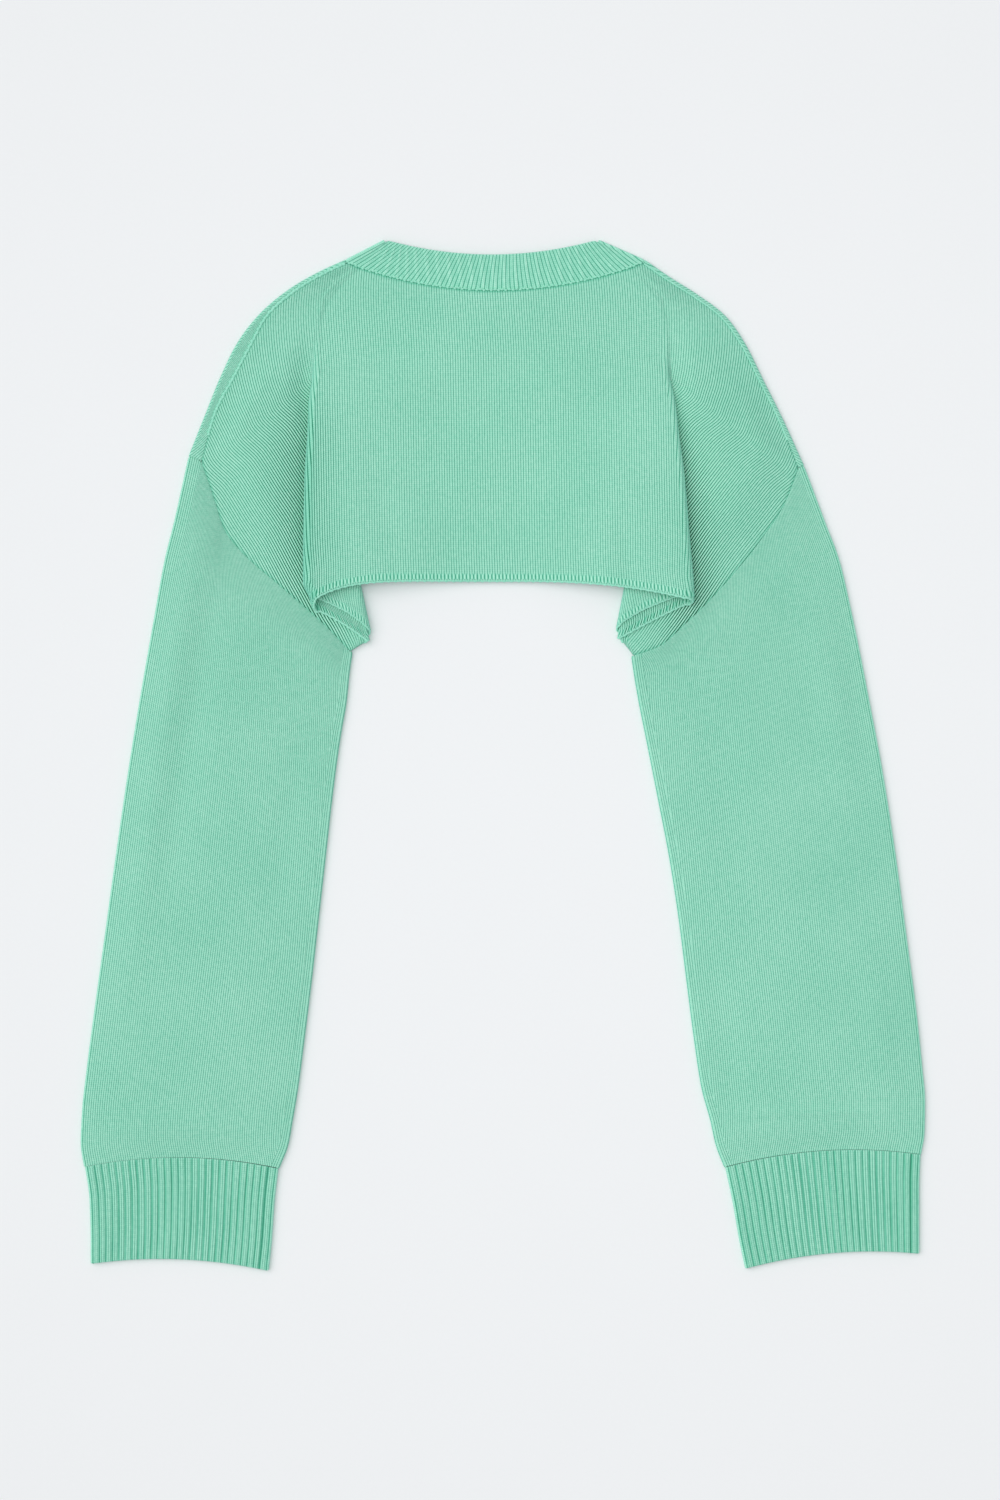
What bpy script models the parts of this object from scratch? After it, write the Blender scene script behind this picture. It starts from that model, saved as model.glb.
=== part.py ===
# Cropped long-sleeved knit sweater, laid flat on its front with its back up.
#
# Two panels lie on each other, and each is tucked under once at the underarm, so six layers of
# knit stack there and fan out to two at the armhole and at the middle of the body. The sleeves
# are flattened tubes, and the cuffs and the neckband are ribbed.
#
# Sizes are millimetres until a mesh is made. +X is to the right as it lies, +Y is towards the
# neck, +Z is up. Side tables give x as the distance out from the middle, so both read alike.

import math
from collections import namedtuple

import bpy
import numpy as np

MM = 0.001

# Fabric
WALL = 1.6  # thickness of the knit
LAYER_GAP = 0.6  # air between two layers that lie on each other
SEAM_GAP = 0.4  # between two pieces along a seam
ROLLED_GAP = 0.55  # where an edge that rolls over meets the next, or the band turns a corner
PITCH = WALL + LAYER_GAP
INNER = LAYER_GAP / 2  # from the middle of a pair of layers to the near face of each
OUTER = INNER + WALL  # and to the far face
BASE = OUTER  # height of the middle of the lowest pair, whose front lies on the floor
FOLD_STEPS = 5  # points round each fold

# Neck, all from its middle
NECK_X = -5.8
NECK_HALF_WIDTH = 107
NECK_Y = 354.2  # at the shoulder
BACK_DROP = 20.2
FRONT_DROP = 80
FRONT_SQUARENESS = 2.4
BAND_X = -8.3  # the band's free edge
BAND_HALF_WIDTH = 76.5
BAND_Y = 370.2
BAND_BACK_DROP = 13
BAND_FRONT_DROP = 74
BAND_SQUARENESS = 2.2
BACK_SQUARENESS = 2  # of the back's neck and of the band's edge over it
BAND_LEVELS = 3  # rows of points up the band
BAND_RIBS = 27  # across the back
CUFF_RIBS = 27  # across one side
FRONT_NECK_GAP = 1.0  # wider than a seam's, since both edges are polygons there

# The body's rows of knit, from the hem to the neck seam. Each starts at the side, turns under
# at the hidden fold, turns back at the fold that shows, and runs to the middle.
#   hidden, shown: how far up those two folds the row turns, as a share of each
#   middle: y where the row crosses the middle;  bow: how soon it levels out on the way there
#   turn: degrees that the folds turn by;  radius: of their middle layer
Row = namedtuple("Row", "hidden shown middle bow turn radius")
ROWS = [
    Row(0.000, 0.000, 124.9, 4.4, 180, PITCH),
    Row(0.026, 0.051, 136.0, 3.9, 180, PITCH),
    Row(0.111, 0.103, 147.0, 3.4, 180, PITCH),
    Row(0.218, 0.264, 168.5, 3.0, 180, PITCH),
    Row(0.315, 0.412, 192.5, 2.6, 180, PITCH),
    Row(0.412, 0.561, 216.5, 2.6, 180, PITCH),
    Row(0.531, 0.741, 245.0, 2.6, 180, PITCH),
    Row(0.620, 0.877, 267.0, 2.6, 180, PITCH),
    Row(0.706, 1.000, 288.0, 2.6, 180, PITCH),
    Row(0.739, 1.000, 296.0, 2.5, 150, PITCH),
    Row(0.773, 1.000, 303.0, 2.4, 112, 2.6),
    Row(0.810, 1.000, 310.0, 2.3, 75, 4.0),
    Row(0.851, 1.000, 316.0, 2.2, 45, 6.5),
    Row(0.895, 1.000, 322.0, 2.1, 22, 9.0),
    Row(0.944, 1.000, 328.0, 2.0, 8, 10.0),
    Row(1.000, 1.000, 334.0, 2.0, 0, 10.0),
]
UNDERARM = 1  # row at the top of the side seam
SHOULDER_TIP = 8  # row where the armhole meets the shoulder
LAST = len(ROWS) - 1
FADED_TUCK = 0.8  # what is left between the two folds above the tuck
BACK_LOFT = 0.7  # how far the back rises off the front between hem and neck

# Shares of a row's stretches where its points lie
SIDE_SHARES = (0, 0.35, 0.7)
TUCK_SHARES = (1 / 3, 2 / 3)
SHELF_SHARES = (0.5, 1)  # level over the tuck
SLOPE_SHARES = (0.2, 0.4, 0.6, 0.8, 1)  # down from it
MIDDLE_SHARES = (0.2, 0.4, 0.6, 0.8)
LEAST_SHELF = 2
SLOPE_AT_HEM = 34
SLOPE_AT_NECK = 42

# How far the front's lower edge lies above the back's, in rows, from the side to the middle
FRONT_LIFT_SIDE = (0, 0.2, 0.4)
FRONT_LIFT_HIDDEN_FOLD = (0.5, 0.7, 0.9, 1.1, 1.3)
FRONT_LIFT_TUCK = (1.35, 1.2)
FRONT_LIFT_MIDDLE = 0.9
LIFT_FADES_BY = 3  # row
NECK_SEARCH_STEPS = 300  # to a row, in finding where each column meets the front neck
NECK_SEARCH_FROM = 5  # row
MOST_GATHER = 6  # how closely a short column's rows gather under the front neck
GATHER_SHARE = 0.9  # under 1, so that its rows never cross
LEAST_SHORT = 1e-6

# Each side's own measures. seam: a point for each row, up the side seam and the armhole, then
# up the shoulder's outline. wrap: width of front that rolls over the shoulder onto the back.
# hidden_fold, shown_fold: the lines that those folds turn round. most_bow: the rows' bow there
# at the most.
Side = namedtuple("Side", "sign seam wrap tip_lean hidden_fold shown_fold most_bow")
LEFT = Side(
    sign=-1,
    seam=[
        (99.9, 80.6), (110.0, 74.2), (127.0, 92.0), (146.2, 109.1),
        (164.0, 124.5), (182.2, 140.0), (200.2, 161.6), (207.4, 183.2),
        (226.1, 214.9), (214.6, 243.7), (204.0, 270.0), (191.5, 295.6),
        (176.0, 316.0), (155.0, 334.0), (134.0, 346.5), (114.5, 355.7),
    ],
    wrap=(8.0, 6.7, 9.5, 9.0, 4.0, 2.0, 1.2, 1.0),
    tip_lean=-23,
    hidden_fold=[
        (97.7, 82.0), (138.5, 272.0), (138.0, 290.0), (134.0, 311.0),
        (129.0, 323.0), (119.0, 336.0), (104.0, 351.1),
    ],
    shown_fold=[(132.7, 107.6), (139.9, 125.6), (138.8, 183.2), (137.7, 226.4), (139.3, 272.0)],
    most_bow=4.4,
)
RIGHT = Side(
    sign=1,
    seam=[
        (86.8, 80.5), (94.0, 71.2), (112.0, 77.6), (131.0, 93.9),
        (149.0, 111.4), (167.0, 131.3), (185.5, 154.5), (202.5, 180.5),
        (216.5, 208.0), (200.2, 243.7), (187.5, 269.0), (174.2, 295.6),
        (160.0, 315.5), (139.0, 331.5), (120.0, 343.5), (103.0, 355.7),
    ],
    wrap=(2.5, 1.5, 1.2, 1.2, 1.2, 1.2, 1.0, 1.0),
    tip_lean=-23,
    hidden_fold=[
        (84.0, 83.9), (121.2, 272.0), (121.0, 290.0), (119.0, 311.0),
        (115.0, 323.0), (106.0, 336.0), (92.4, 351.1),
    ],
    shown_fold=[
        (132.7, 109.8), (133.2, 120.6), (131.3, 138.6), (129.1, 167.4), (126.2, 199.8),
        (123.8, 226.4), (122.0, 272.0),
    ],
    most_bow=2.5,
)

# A sleeve's sections below the armhole: its two edges, as outer x, y and inner x, y, and how
# far the section bows up towards the neck at its middle.
Section = namedtuple("Section", "outer_x outer_y inner_x inner_y bow")
LEFT_SLEEVE = [
    Section(236.5, 168.0, 110.5, 57.0, 0),
    Section(243.4, 140.0, 112.3, 39.2, 0),
    Section(251.3, 96.8, 117.5, 8.0, 0),
    Section(261.4, 39.2, 122.8, -32.0, 0),
    Section(270.3, -16.0, 127.5, -74.0, 0),
    Section(278.5, -72.0, 132.5, -118.0, 0),
    Section(286.5, -130.0, 137.2, -160.0, 0.5),
    Section(294.0, -184.0, 142.5, -203.0, 1.5),
    Section(299.5, -226.0, 147.2, -239.0, 3.0),
    Section(302.8, -256.0, 151.2, -263.2, 4.5),
    Section(303.8, -279.0, 154.5, -281.0, 6.0),
    Section(301.5, -296.3, 161.0, -297.7, 7.0),
]
RIGHT_SLEEVE = [
    Section(231.5, 168.0, 94.5, 55.0, 0),
    Section(241.9, 140.0, 97.2, 39.2, 0),
    Section(252.0, 96.8, 103.4, 8.0, 0),
    Section(263.5, 39.2, 111.3, -32.0, 0),
    Section(273.8, -16.0, 119.4, -74.0, 0),
    Section(282.5, -72.0, 126.2, -118.0, 0),
    Section(290.3, -130.0, 131.5, -160.0, 0.5),
    Section(297.4, -184.0, 137.0, -203.0, 1.5),
    Section(301.4, -222.0, 142.5, -239.0, 3.0),
    Section(303.8, -250.0, 149.0, -263.2, 4.5),
    Section(303.3, -272.0, 153.0, -281.0, 6.0),
    Section(300.8, -287.5, 159.0, -296.8, 7.0),
]
LEFT_CUFF = [
    Section(300.0, -296.7, 162.0, -298.1, 7.0),
    Section(297.4, -320.8, 164.2, -320.8, 6.5),
    Section(296.6, -349.6, 166.3, -349.6, 6.0),
    Section(296.6, -366.1, 168.5, -371.2, 5.5),
]
RIGHT_CUFF = [
    Section(300.3, -287.9, 160.6, -297.2, 7.0),
    Section(299.5, -312.0, 165.0, -321.0, 6.5),
    Section(299.5, -340.0, 170.0, -349.6, 6.0),
    Section(299.5, -358.9, 174.2, -369.7, 5.5),
]
CAP_FADES_BY = 5  # section where the armhole's curve has died out
SLEEVE_LOFT = 1.5  # how far a sleeve's top rises off its underside
SLEEVE_TROUGHS = ((0.22, 0.8), (0.47, 0.6), (0.70, 0.9), (0.93, 1.0))  # share down, depth
TROUGH_WIDTH = 0.05
DEEPEST_TROUGH = 0.6  # share of the loft that a trough of depth 1 takes
LOFT_STARTS_BY = 1.25  # sections from the armhole
LOFT_ENDS_BY = 2  # sections from the cuff

# Ribs, as shares of one rib and height over or under the plain face
RIB_SHARES = (0, 0.12, 0.30, 0.82)
CUFF_RIB_LIFT = (-0.35, -0.35, 0.40, 0.40)
BAND_RIB_SHARES = (0, 0.52, 0.66, 0.88)
BAND_RIB_LIFT = (-0.25, -0.25, 0.40, 0.40)
PLAIN_STEPS = 12  # across an underside

MINT = (0.275, 0.655, 0.485)
MINT_RIB = (0.262, 0.640, 0.470)
ROUGHNESS = 0.92
SHARP_FROM = 40  # degrees between faces


def unit(vectors):
    return vectors / np.linalg.norm(vectors, axis=-1, keepdims=True)


def inward(line):
    """Unit vectors across a line of points that runs up a side, towards the middle."""
    along = unit(np.gradient(line, axis=0))
    return np.stack([-along[:, 1], along[:, 0]], axis=1)


def point_on(line, share):
    """The point at this share of a fold line's height."""
    line = np.array(line)
    y = line[0, 1] + share * (line[-1, 1] - line[0, 1])
    return np.stack([np.interp(y, line[:, 1], line[:, 0]), y], axis=-1)


def column(rows, name):
    return np.array([getattr(row, name) for row in rows], float)


def ease(share):
    share = np.clip(share, 0, 1)
    return share * share * (3 - 2 * share)


def lying(points, height):
    """Points in the plane, given one height or one each, as points in space."""
    return np.concatenate([points, np.broadcast_to(height, points.shape[:-1])[..., None]], axis=-1)


def upright(cross, angles, sign=1):
    """Unit vectors at these angles from straight up, leaning against the cross direction."""
    flat = -np.sin(angles)[:, None] * cross * sign
    return lying(flat, np.cos(angles))


def shoulder_edge(side):
    """The line that the panels end at: the seams, then just inside the shoulder's outline."""
    edge = np.array(side.seam)
    outline = edge[SHOULDER_TIP:]
    edge[SHOULDER_TIP:] = outline + OUTER * inward(outline)
    edge[LAST] = (NECK_HALF_WIDTH + side.sign * NECK_X, NECK_Y)
    return edge


def wrap_ends(side, edge, folds):
    """Where the front that rolls over the shoulder ends, for the rows from the tip up."""
    along = unit(folds[SHOULDER_TIP:] - edge[SHOULDER_TIP:])
    lean = math.radians(side.tip_lean)
    along[0] = (-math.cos(lean), math.sin(lean))
    return along, np.array(side.wrap)[:, None]


def half_body(side):
    """One half of the doubled body: the middle between its layers and the way the back faces.

    Each is an array of rows by points, from the side to just short of the middle. Everything is
    worked out with x as the distance out, and mirrored at the end for the left.
    """
    edge = shoulder_edge(side)
    hidden = point_on(side.hidden_fold, column(ROWS, "hidden"))
    shown = point_on(side.shown_fold, column(ROWS, "shown"))
    turn = np.radians(column(ROWS, "turn"))
    radius = column(ROWS, "radius")
    middle_x = side.sign * NECK_X * np.arange(len(ROWS)) / LAST
    middle_y = column(ROWS, "middle")
    hidden_in = inward(hidden)
    shown_in = hidden_in.copy()
    shown_in[:SHOULDER_TIP] = inward(shown[: SHOULDER_TIP + 1])[:SHOULDER_TIP]

    tuck_start = lying(
        hidden + (radius * np.sin(turn))[:, None] * hidden_in, BASE + radius * (1 - np.cos(turn))
    )
    tuck_end = lying(shown, tuck_start[:, 2])
    faded = np.concatenate([np.cos(turn)[:, None] * hidden_in, np.sin(turn)[:, None]], axis=1)
    tuck_end[SHOULDER_TIP:] = (tuck_start + FADED_TUCK * faded)[SHOULDER_TIP:]
    pivot = tuck_end - radius[:, None] * upright(shown_in, turn)
    top = pivot[:, 2] + radius - BASE

    places, facings = [], []

    def add(points, facing):
        places.append(points)
        facings.append(np.broadcast_to(facing, points.shape))

    up, down = np.array([0, 0, 1.0]), upright(hidden_in, turn)
    for share in SIDE_SHARES:
        add(lying(edge + share * (hidden - edge), BASE), up)
    for share in np.linspace(0, 1, FOLD_STEPS):
        facing = upright(hidden_in, share * turn)
        add(lying(hidden, BASE + radius) - radius[:, None] * facing, facing)
    for share in TUCK_SHARES:
        add(tuck_start + share * (tuck_end - tuck_start), down)
    for share in np.linspace(1, 0, FOLD_STEPS):
        facing = upright(shown_in, share * turn)
        add(pivot + radius[:, None] * facing, facing)

    # From the shown fold to the middle: level over the tuck, then down a soft slope.
    fold = pivot[:, :2]
    span = fold[:, 0] - middle_x
    hidden_here = np.interp(fold[:, 1], hidden[:, 1], hidden[:, 0])
    shelf = np.maximum(fold[:, 0] - hidden_here + 1, LEAST_SHELF)
    slope = np.interp(np.arange(len(ROWS)), (0, LAST), (SLOPE_AT_HEM, SLOPE_AT_NECK))
    rest = span - shelf - slope
    distances = [share * shelf for share in SHELF_SHARES]
    distances += [shelf + share * slope for share in SLOPE_SHARES]
    distances += [shelf + slope + share * rest for share in MIDDLE_SHARES]
    for distance in distances:
        share = distance / span
        rise = 1 - (1 - share) ** np.minimum(column(ROWS, "bow"), side.most_bow)
        y = fold[:, 1] + (middle_y - fold[:, 1]) * rise
        flat = np.stack([fold[:, 0] - distance, y], axis=1)
        shelf_here = np.interp(flat[:, 1], fold[:, 1], shelf)
        fold_here = np.interp(flat[:, 1], fold[:, 1], fold[:, 0])
        top_here = np.interp(flat[:, 1], fold[:, 1], top)
        fall = ease((fold_here - flat[:, 0] - shelf_here) / slope)
        add(lying(flat, BASE + top_here * (1 - fall)), up)

    mirror = np.array([side.sign, 1, 1])
    return np.stack(places, axis=1) * mirror, np.stack(facings, axis=1) * mirror


def whole_body():
    """Both halves and the middle points, as one sheet from left to right."""
    left, left_facing = half_body(LEFT)
    right, right_facing = half_body(RIGHT)
    middle_x = NECK_X * np.arange(len(ROWS)) / LAST
    middle = lying(np.stack([middle_x, column(ROWS, "middle")], axis=1), BASE)[:, None]
    places = np.concatenate([left, middle, right[:, ::-1]], axis=1)
    up = np.zeros_like(middle) + (0, 0, 1)
    facings = np.concatenate([left_facing, up, right_facing[:, ::-1]], axis=1)
    return places, facings


def sheet_quads(rows, columns, ring=False):
    """Corner numbers of each quad of a grid of points, closed into a ring if asked."""
    index = np.arange(rows * columns).reshape(rows, columns)
    after = np.roll(index, -1, axis=1) if ring else index[:, 1:]
    before = index if ring else index[:, :-1]
    return np.stack([before[:-1], after[:-1], after[1:], before[1:]], axis=-1).reshape(-1, 4)


def make_piece(name, far, near, quads, colour):
    """A closed wall between two faces of one sheet, with a rim round each free edge."""
    far, near = far.reshape(-1, 3), near.reshape(-1, 3)
    used, quads = np.unique(quads, return_inverse=True)
    quads = quads.reshape(-1, 4)
    far, near = far[used], near[used]
    ends = np.stack([quads, np.roll(quads, -1, axis=1)], axis=-1).reshape(-1, 2)
    known = {(a, b) for a, b in ends.tolist()}
    rim = np.array([(a, b) for a, b in ends.tolist() if (b, a) not in known])
    count = len(far)
    faces = np.concatenate(
        [
            quads,
            quads[:, ::-1] + count,
            np.stack([rim[:, 1], rim[:, 0], rim[:, 0] + count, rim[:, 1] + count], axis=1),
        ]
    )
    points = np.concatenate([far, near])
    corners = points[faces]
    # Twice the signed volume, from each quad's two triangles
    volume = sum(
        np.einsum("ij,ij->", corners[:, 0], np.cross(corners[:, k], corners[:, k + 1])) for k in (1, 2)
    )
    if volume < 0:
        faces = faces[:, ::-1]

    mesh = bpy.data.meshes.new(name)
    mesh.from_pydata((points * MM).tolist(), [], faces.tolist())
    mesh.update()
    mesh.shade_smooth()
    mesh.set_sharp_from_angle(angle=math.radians(SHARP_FROM))
    mesh.materials.append(knit_material(name, colour))
    piece = bpy.data.objects.new(name, mesh)
    bpy.context.collection.objects.link(piece)
    return piece


def knit_material(name, colour):
    material = bpy.data.materials.new(name + "_knit")
    material.use_nodes = True
    shader = material.node_tree.nodes["Principled BSDF"]
    shader.inputs["Base Color"].default_value = (*colour, 1)
    shader.inputs["Roughness"].default_value = ROUGHNESS
    shader.inputs["Metallic"].default_value = 0
    return material


def at_rows(sheet, rows):
    """The sheet's points read at these fractional rows, one list of rows for each column."""
    low = np.clip(np.floor(rows).astype(int), 0, LAST - 1)
    share = (rows - low)[..., None]
    columns = np.arange(sheet.shape[1])
    return sheet[low, columns] * (1 - share) + sheet[low + 1, columns] * share


def back_panel(places, facings):
    places = places.copy()
    for side, first, step in ((LEFT, 0, 1), (RIGHT, -1, -1)):
        out = np.array([side.sign, 1])
        fold = places[:, first + step * len(SIDE_SHARES), :2] * out
        edge = shoulder_edge(side)
        along, width = wrap_ends(side, edge, fold)
        seam = edge[SHOULDER_TIP:] + along * (width + ROLLED_GAP)
        for number, share in enumerate(SIDE_SHARES):
            points = seam + share * (fold[SHOULDER_TIP:] - seam)
            places[SHOULDER_TIP:, first + step * number, :2] = points * out
    half = len(places[0]) // 2
    flat_from = half - len(MIDDLE_SHARES) - 2
    loft = np.zeros(places.shape[:2])
    rise = BACK_LOFT * np.sin(np.linspace(0, np.pi, len(ROWS)))
    loft[:, flat_from : 2 * half + 1 - flat_from] = rise[:, None]
    far = places + facings * (OUTER + loft)[..., None]
    near = places + facings * (INNER + loft)[..., None]
    make_piece("back_panel", far, near, sheet_quads(*places.shape[:2]), MINT)


def front_neck(x):
    share = np.minimum(np.abs(x - NECK_X) / NECK_HALF_WIDTH, 1)
    return NECK_Y - FRONT_DROP * (1 - share**FRONT_SQUARENESS)


def front_rows(places):
    """Each column's rows in the front, from its own hem to the front neck."""
    half = list(FRONT_LIFT_SIDE + FRONT_LIFT_HIDDEN_FOLD + FRONT_LIFT_TUCK)
    lift = np.full(places.shape[1], FRONT_LIFT_MIDDLE)
    lift[: len(half)] = half
    lift[-len(half) :] = half[::-1]
    fine = np.linspace(0, LAST, NECK_SEARCH_STEPS * LAST + 1)
    read = at_rows(places, np.repeat(fine[:, None], places.shape[1], axis=1))
    over = read[..., 1] > front_neck(read[..., 0])
    over[: NECK_SEARCH_FROM * NECK_SEARCH_STEPS] = False
    top = np.where(over.any(axis=0), fine[over.argmax(axis=0)], LAST)
    top[[0, -1]] = LAST
    number = np.arange(len(ROWS))[:, None]
    short = np.maximum(LAST - top, LEAST_SHORT)
    gather = np.minimum(MOST_GATHER, GATHER_SHARE * LAST / short)
    lifted = lift * np.clip(1 - number / LIFT_FADES_BY, 0, 1)
    return number + lifted - short * (number / LAST) ** gather


def front_panel(places, facings):
    """The front, whose shoulder edges roll up and over onto the back."""
    rows = front_rows(places)
    level_rows, places, facings = places, at_rows(places, rows), at_rows(facings, rows)
    far = [places - facings * OUTER]
    near = [places - facings * INNER]
    angles = np.linspace(0, np.pi, FOLD_STEPS)[1:]
    keep = [sheet_quads(*places.shape[:2])]
    for side, first, step in ((LEFT, 0, 1), (RIGHT, -1, -1)):
        fold = level_rows[:, first + step * len(SIDE_SHARES), :2] * (side.sign, 1)
        edge = shoulder_edge(side)
        across = inward(edge)
        across[SHOULDER_TIP:] = inward(edge[SHOULDER_TIP:])
        along, width = wrap_ends(side, edge, fold)
        end = np.zeros_like(edge)
        end[SHOULDER_TIP:] = along * width
        roll = [upright(across, np.full(len(ROWS), math.pi - angle)) for angle in angles]
        centre = lying(edge, BASE)
        for faces, distance in ((far, OUTER), (near, INNER)):
            strip = [centre + distance * direction for direction in roll]
            strip.append(strip[-1] + lying(end, 0))
            strip = np.stack(strip, axis=1) * (side.sign, 1, 1)
            faces.insert(0 if step == 1 else len(faces), strip[:, ::-step])
    far, near = np.concatenate(far, axis=1), np.concatenate(near, axis=1)
    rolled = FOLD_STEPS
    quads = sheet_quads(*far.shape[:2])
    columns = far.shape[1]
    row, place = quads[:, 0] // columns, quads[:, 0] % columns
    body = (place >= rolled) & (place < columns - 1 - rolled)
    quads = quads[body | (row >= SHOULDER_TIP)]
    make_piece("front_panel", far, near, quads, MINT)


def across_line(points):
    """Unit vectors square to a line of points, to the left of the way it runs."""
    along = unit(np.gradient(points, axis=0))
    return np.stack([-along[:, 1], along[:, 0]], axis=1)


def outer_side(points):
    """Unit vectors square to a line of points, on its +X side."""
    across = across_line(points)
    return across * np.where(across[:, :1] < 0, -1, 1)


def cap_lines(side):
    """The sleeve's top edge along the armhole, over and under, from its outer to its inner fold."""
    edge = shoulder_edge(side)
    lean = math.radians(side.tip_lean)
    corner = edge[SHOULDER_TIP] + side.wrap[0] * np.array([-math.cos(lean), math.sin(lean)])
    halfway = (edge[SHOULDER_TIP] + edge[SHOULDER_TIP - 1]) / 2
    lines = []
    for second in (corner, halfway):
        line = np.vstack([edge[SHOULDER_TIP], second, edge[SHOULDER_TIP - 1 : UNDERARM - 1 : -1]])
        line += SEAM_GAP * across_line(line)
        line[0] = edge[SHOULDER_TIP] + SEAM_GAP * unit(edge[SHOULDER_TIP] - edge[SHOULDER_TIP + 1])
        lines.append(line)
    return lines


def tube(name, over, under, loft, lift, colour, sign=1):
    """A flattened tube from its upper and lower lines in the plane, each section by points.

    Both lines run from the fold on the +X side to the other one, and turn round each other there.
    loft raises the upper layer, and lift raises only its outer face, as for ribs.
    """
    outer_out = outer_side(over[:, 0])
    inner_out = -outer_side(over[:, -1])
    faces = []
    for distance, raised in ((OUTER, loft + lift), (INNER, loft)):
        ends = []
        for axis, out, angles in (
            (over[:, -1], inner_out, np.linspace(0, np.pi, FOLD_STEPS)[1:-1]),
            (over[:, 0], outer_out, np.linspace(np.pi, 0, FOLD_STEPS)[1:-1]),
        ):
            turns = [upright(-out, np.full(len(axis), angle)) for angle in angles]
            ends.append(lying(axis, BASE)[:, None] + distance * np.stack(turns, axis=1))
        top = lying(over, BASE + distance + raised)
        bottom = lying(under[:, ::-1], BASE - distance)
        faces.append(np.concatenate([top, ends[0], bottom, ends[1]], axis=1) * (sign, 1, 1))
    far, near = faces
    make_piece(name, far, near, sheet_quads(*far.shape[:2], ring=True), colour)


def section_ends(sections):
    """The outer and inner fold lines that a tube's sections turn round, inside its outline."""
    outer = np.array([(s.outer_x, s.outer_y) for s in sections])
    inner = np.array([(s.inner_x, s.inner_y) for s in sections])
    return outer - OUTER * outer_side(outer), inner + OUTER * outer_side(inner)


def between(outer, inner, shares, bow):
    """Points at these shares across each section, bowed towards the neck."""
    line = outer[:, None] + shares[None, :, None] * (inner - outer)[:, None]
    line[..., 1] += bow[:, None] * 4 * shares * (1 - shares)
    return line


def sleeve(name, side, sections):
    cap_over, cap_under = cap_lines(side)
    outer, inner = section_ends(sections)
    outer = np.vstack([cap_over[0], outer])
    inner = np.vstack([cap_over[-1], inner])
    bow = np.append(0, column(sections, "bow"))
    number = np.arange(len(outer))
    fade = (1 - np.minimum(number / CAP_FADES_BY, 1)) ** 2
    lines = []
    for cap in (cap_over, cap_under):
        lengths = np.append(0, np.cumsum(np.linalg.norm(np.diff(cap, axis=0), axis=1)))
        shares = lengths / lengths[-1]
        bulge = cap - (cap[0] + shares[:, None] * (cap[-1] - cap[0]))
        lines.append(between(outer, inner, shares, bow) + fade[:, None, None] * bulge)
    over, under = lines
    share = np.linspace(0, 1, over.shape[1])
    down = number / number[-1]
    trough = sum(
        depth * np.exp(-(((down - place) / TROUGH_WIDTH) ** 2)) for place, depth in SLEEVE_TROUGHS
    )
    swell = np.clip(number / LOFT_STARTS_BY, 0, 1) * np.clip(number[::-1] / LOFT_ENDS_BY, 0, 1)
    kept = swell * (1 - DEEPEST_TROUGH * trough)
    loft = SLEEVE_LOFT * np.sin(np.pi * share) * np.maximum(kept, 0)[:, None]
    tube(name, over, under, loft, 0, MINT, side.sign)


def rib_points(ribs, shares, lifts):
    """Where the corners of a row of ribs lie, as shares of the row, and how high."""
    places = (np.arange(ribs)[:, None] + np.array(shares)).ravel() / ribs
    return np.append(places, 1), np.append(np.tile(lifts, ribs), 0)


def cuff(name, side, sections):
    outer, inner = section_ends(sections)
    bow = column(sections, "bow")
    shares, lift = rib_points(CUFF_RIBS, RIB_SHARES, CUFF_RIB_LIFT)
    lift[0] = 0
    over = between(outer, inner, shares, bow)
    under = between(outer, inner, np.linspace(0, 1, PLAIN_STEPS + 1), bow)
    tube(name, over, under, 0, np.tile(lift, (len(sections), 1)), MINT_RIB, side.sign)


def band_line(w, x, half_width, y, drop, squareness):
    return np.stack([x + half_width * w, y - drop * (1 - np.abs(w) ** squareness)], axis=1)


def neckband():
    """The ribbed ring: its back lies on its front, and both turn round the shoulders."""
    shares, lift = rib_points(BAND_RIBS, BAND_RIB_SHARES, BAND_RIB_LIFT)
    lift[0] = 0
    back, front = 2 * shares - 1, np.linspace(-1, 1, 2 * PLAIN_STEPS + 1)
    seams, edges = [], []
    for w, drop, squareness, gap in (
        (back, BACK_DROP, BACK_SQUARENESS, SEAM_GAP),
        (front, FRONT_DROP, FRONT_SQUARENESS, FRONT_NECK_GAP),
    ):
        seam = band_line(w, NECK_X, NECK_HALF_WIDTH, NECK_Y, drop, squareness)
        seams.append(seam + gap * across_line(seam))
    for w, drop, squareness in (
        (back, BAND_BACK_DROP, BACK_SQUARENESS),
        (front, BAND_FRONT_DROP, BAND_SQUARENESS),
    ):
        edges.append(band_line(w, BAND_X, BAND_HALF_WIDTH, BAND_Y, drop, squareness))
    # Both halves turn round one line at each shoulder.
    for end, sign in ((0, -1), (-1, 1)):
        corner = np.array([NECK_X + sign * NECK_HALF_WIDTH, NECK_Y])
        seams[0][end] = seams[1][end] = corner + ROLLED_GAP * unit(np.array([-sign, 1.0]))
    levels = np.linspace(0, 1, BAND_LEVELS)
    over, under = (
        (seam + levels[:, None, None] * (edge - seam))[:, ::-1] for seam, edge in zip(seams, edges)
    )
    tube("neckband", over, under, 0, np.tile(lift[::-1], (len(levels), 1)), MINT_RIB)


def set_on_origin():
    """Moves all the pieces so that the box round them stands on the origin."""
    bpy.context.view_layer.update()
    points = np.array([tuple(v.co) for piece in bpy.context.scene.objects for v in piece.data.vertices])
    low, high = points.min(axis=0), points.max(axis=0)
    shift = -np.array([(low[0] + high[0]) / 2, (low[1] + high[1]) / 2, low[2]])
    for piece in bpy.context.scene.objects:
        for vertex in piece.data.vertices:
            vertex.co = np.array(vertex.co) + shift


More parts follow.
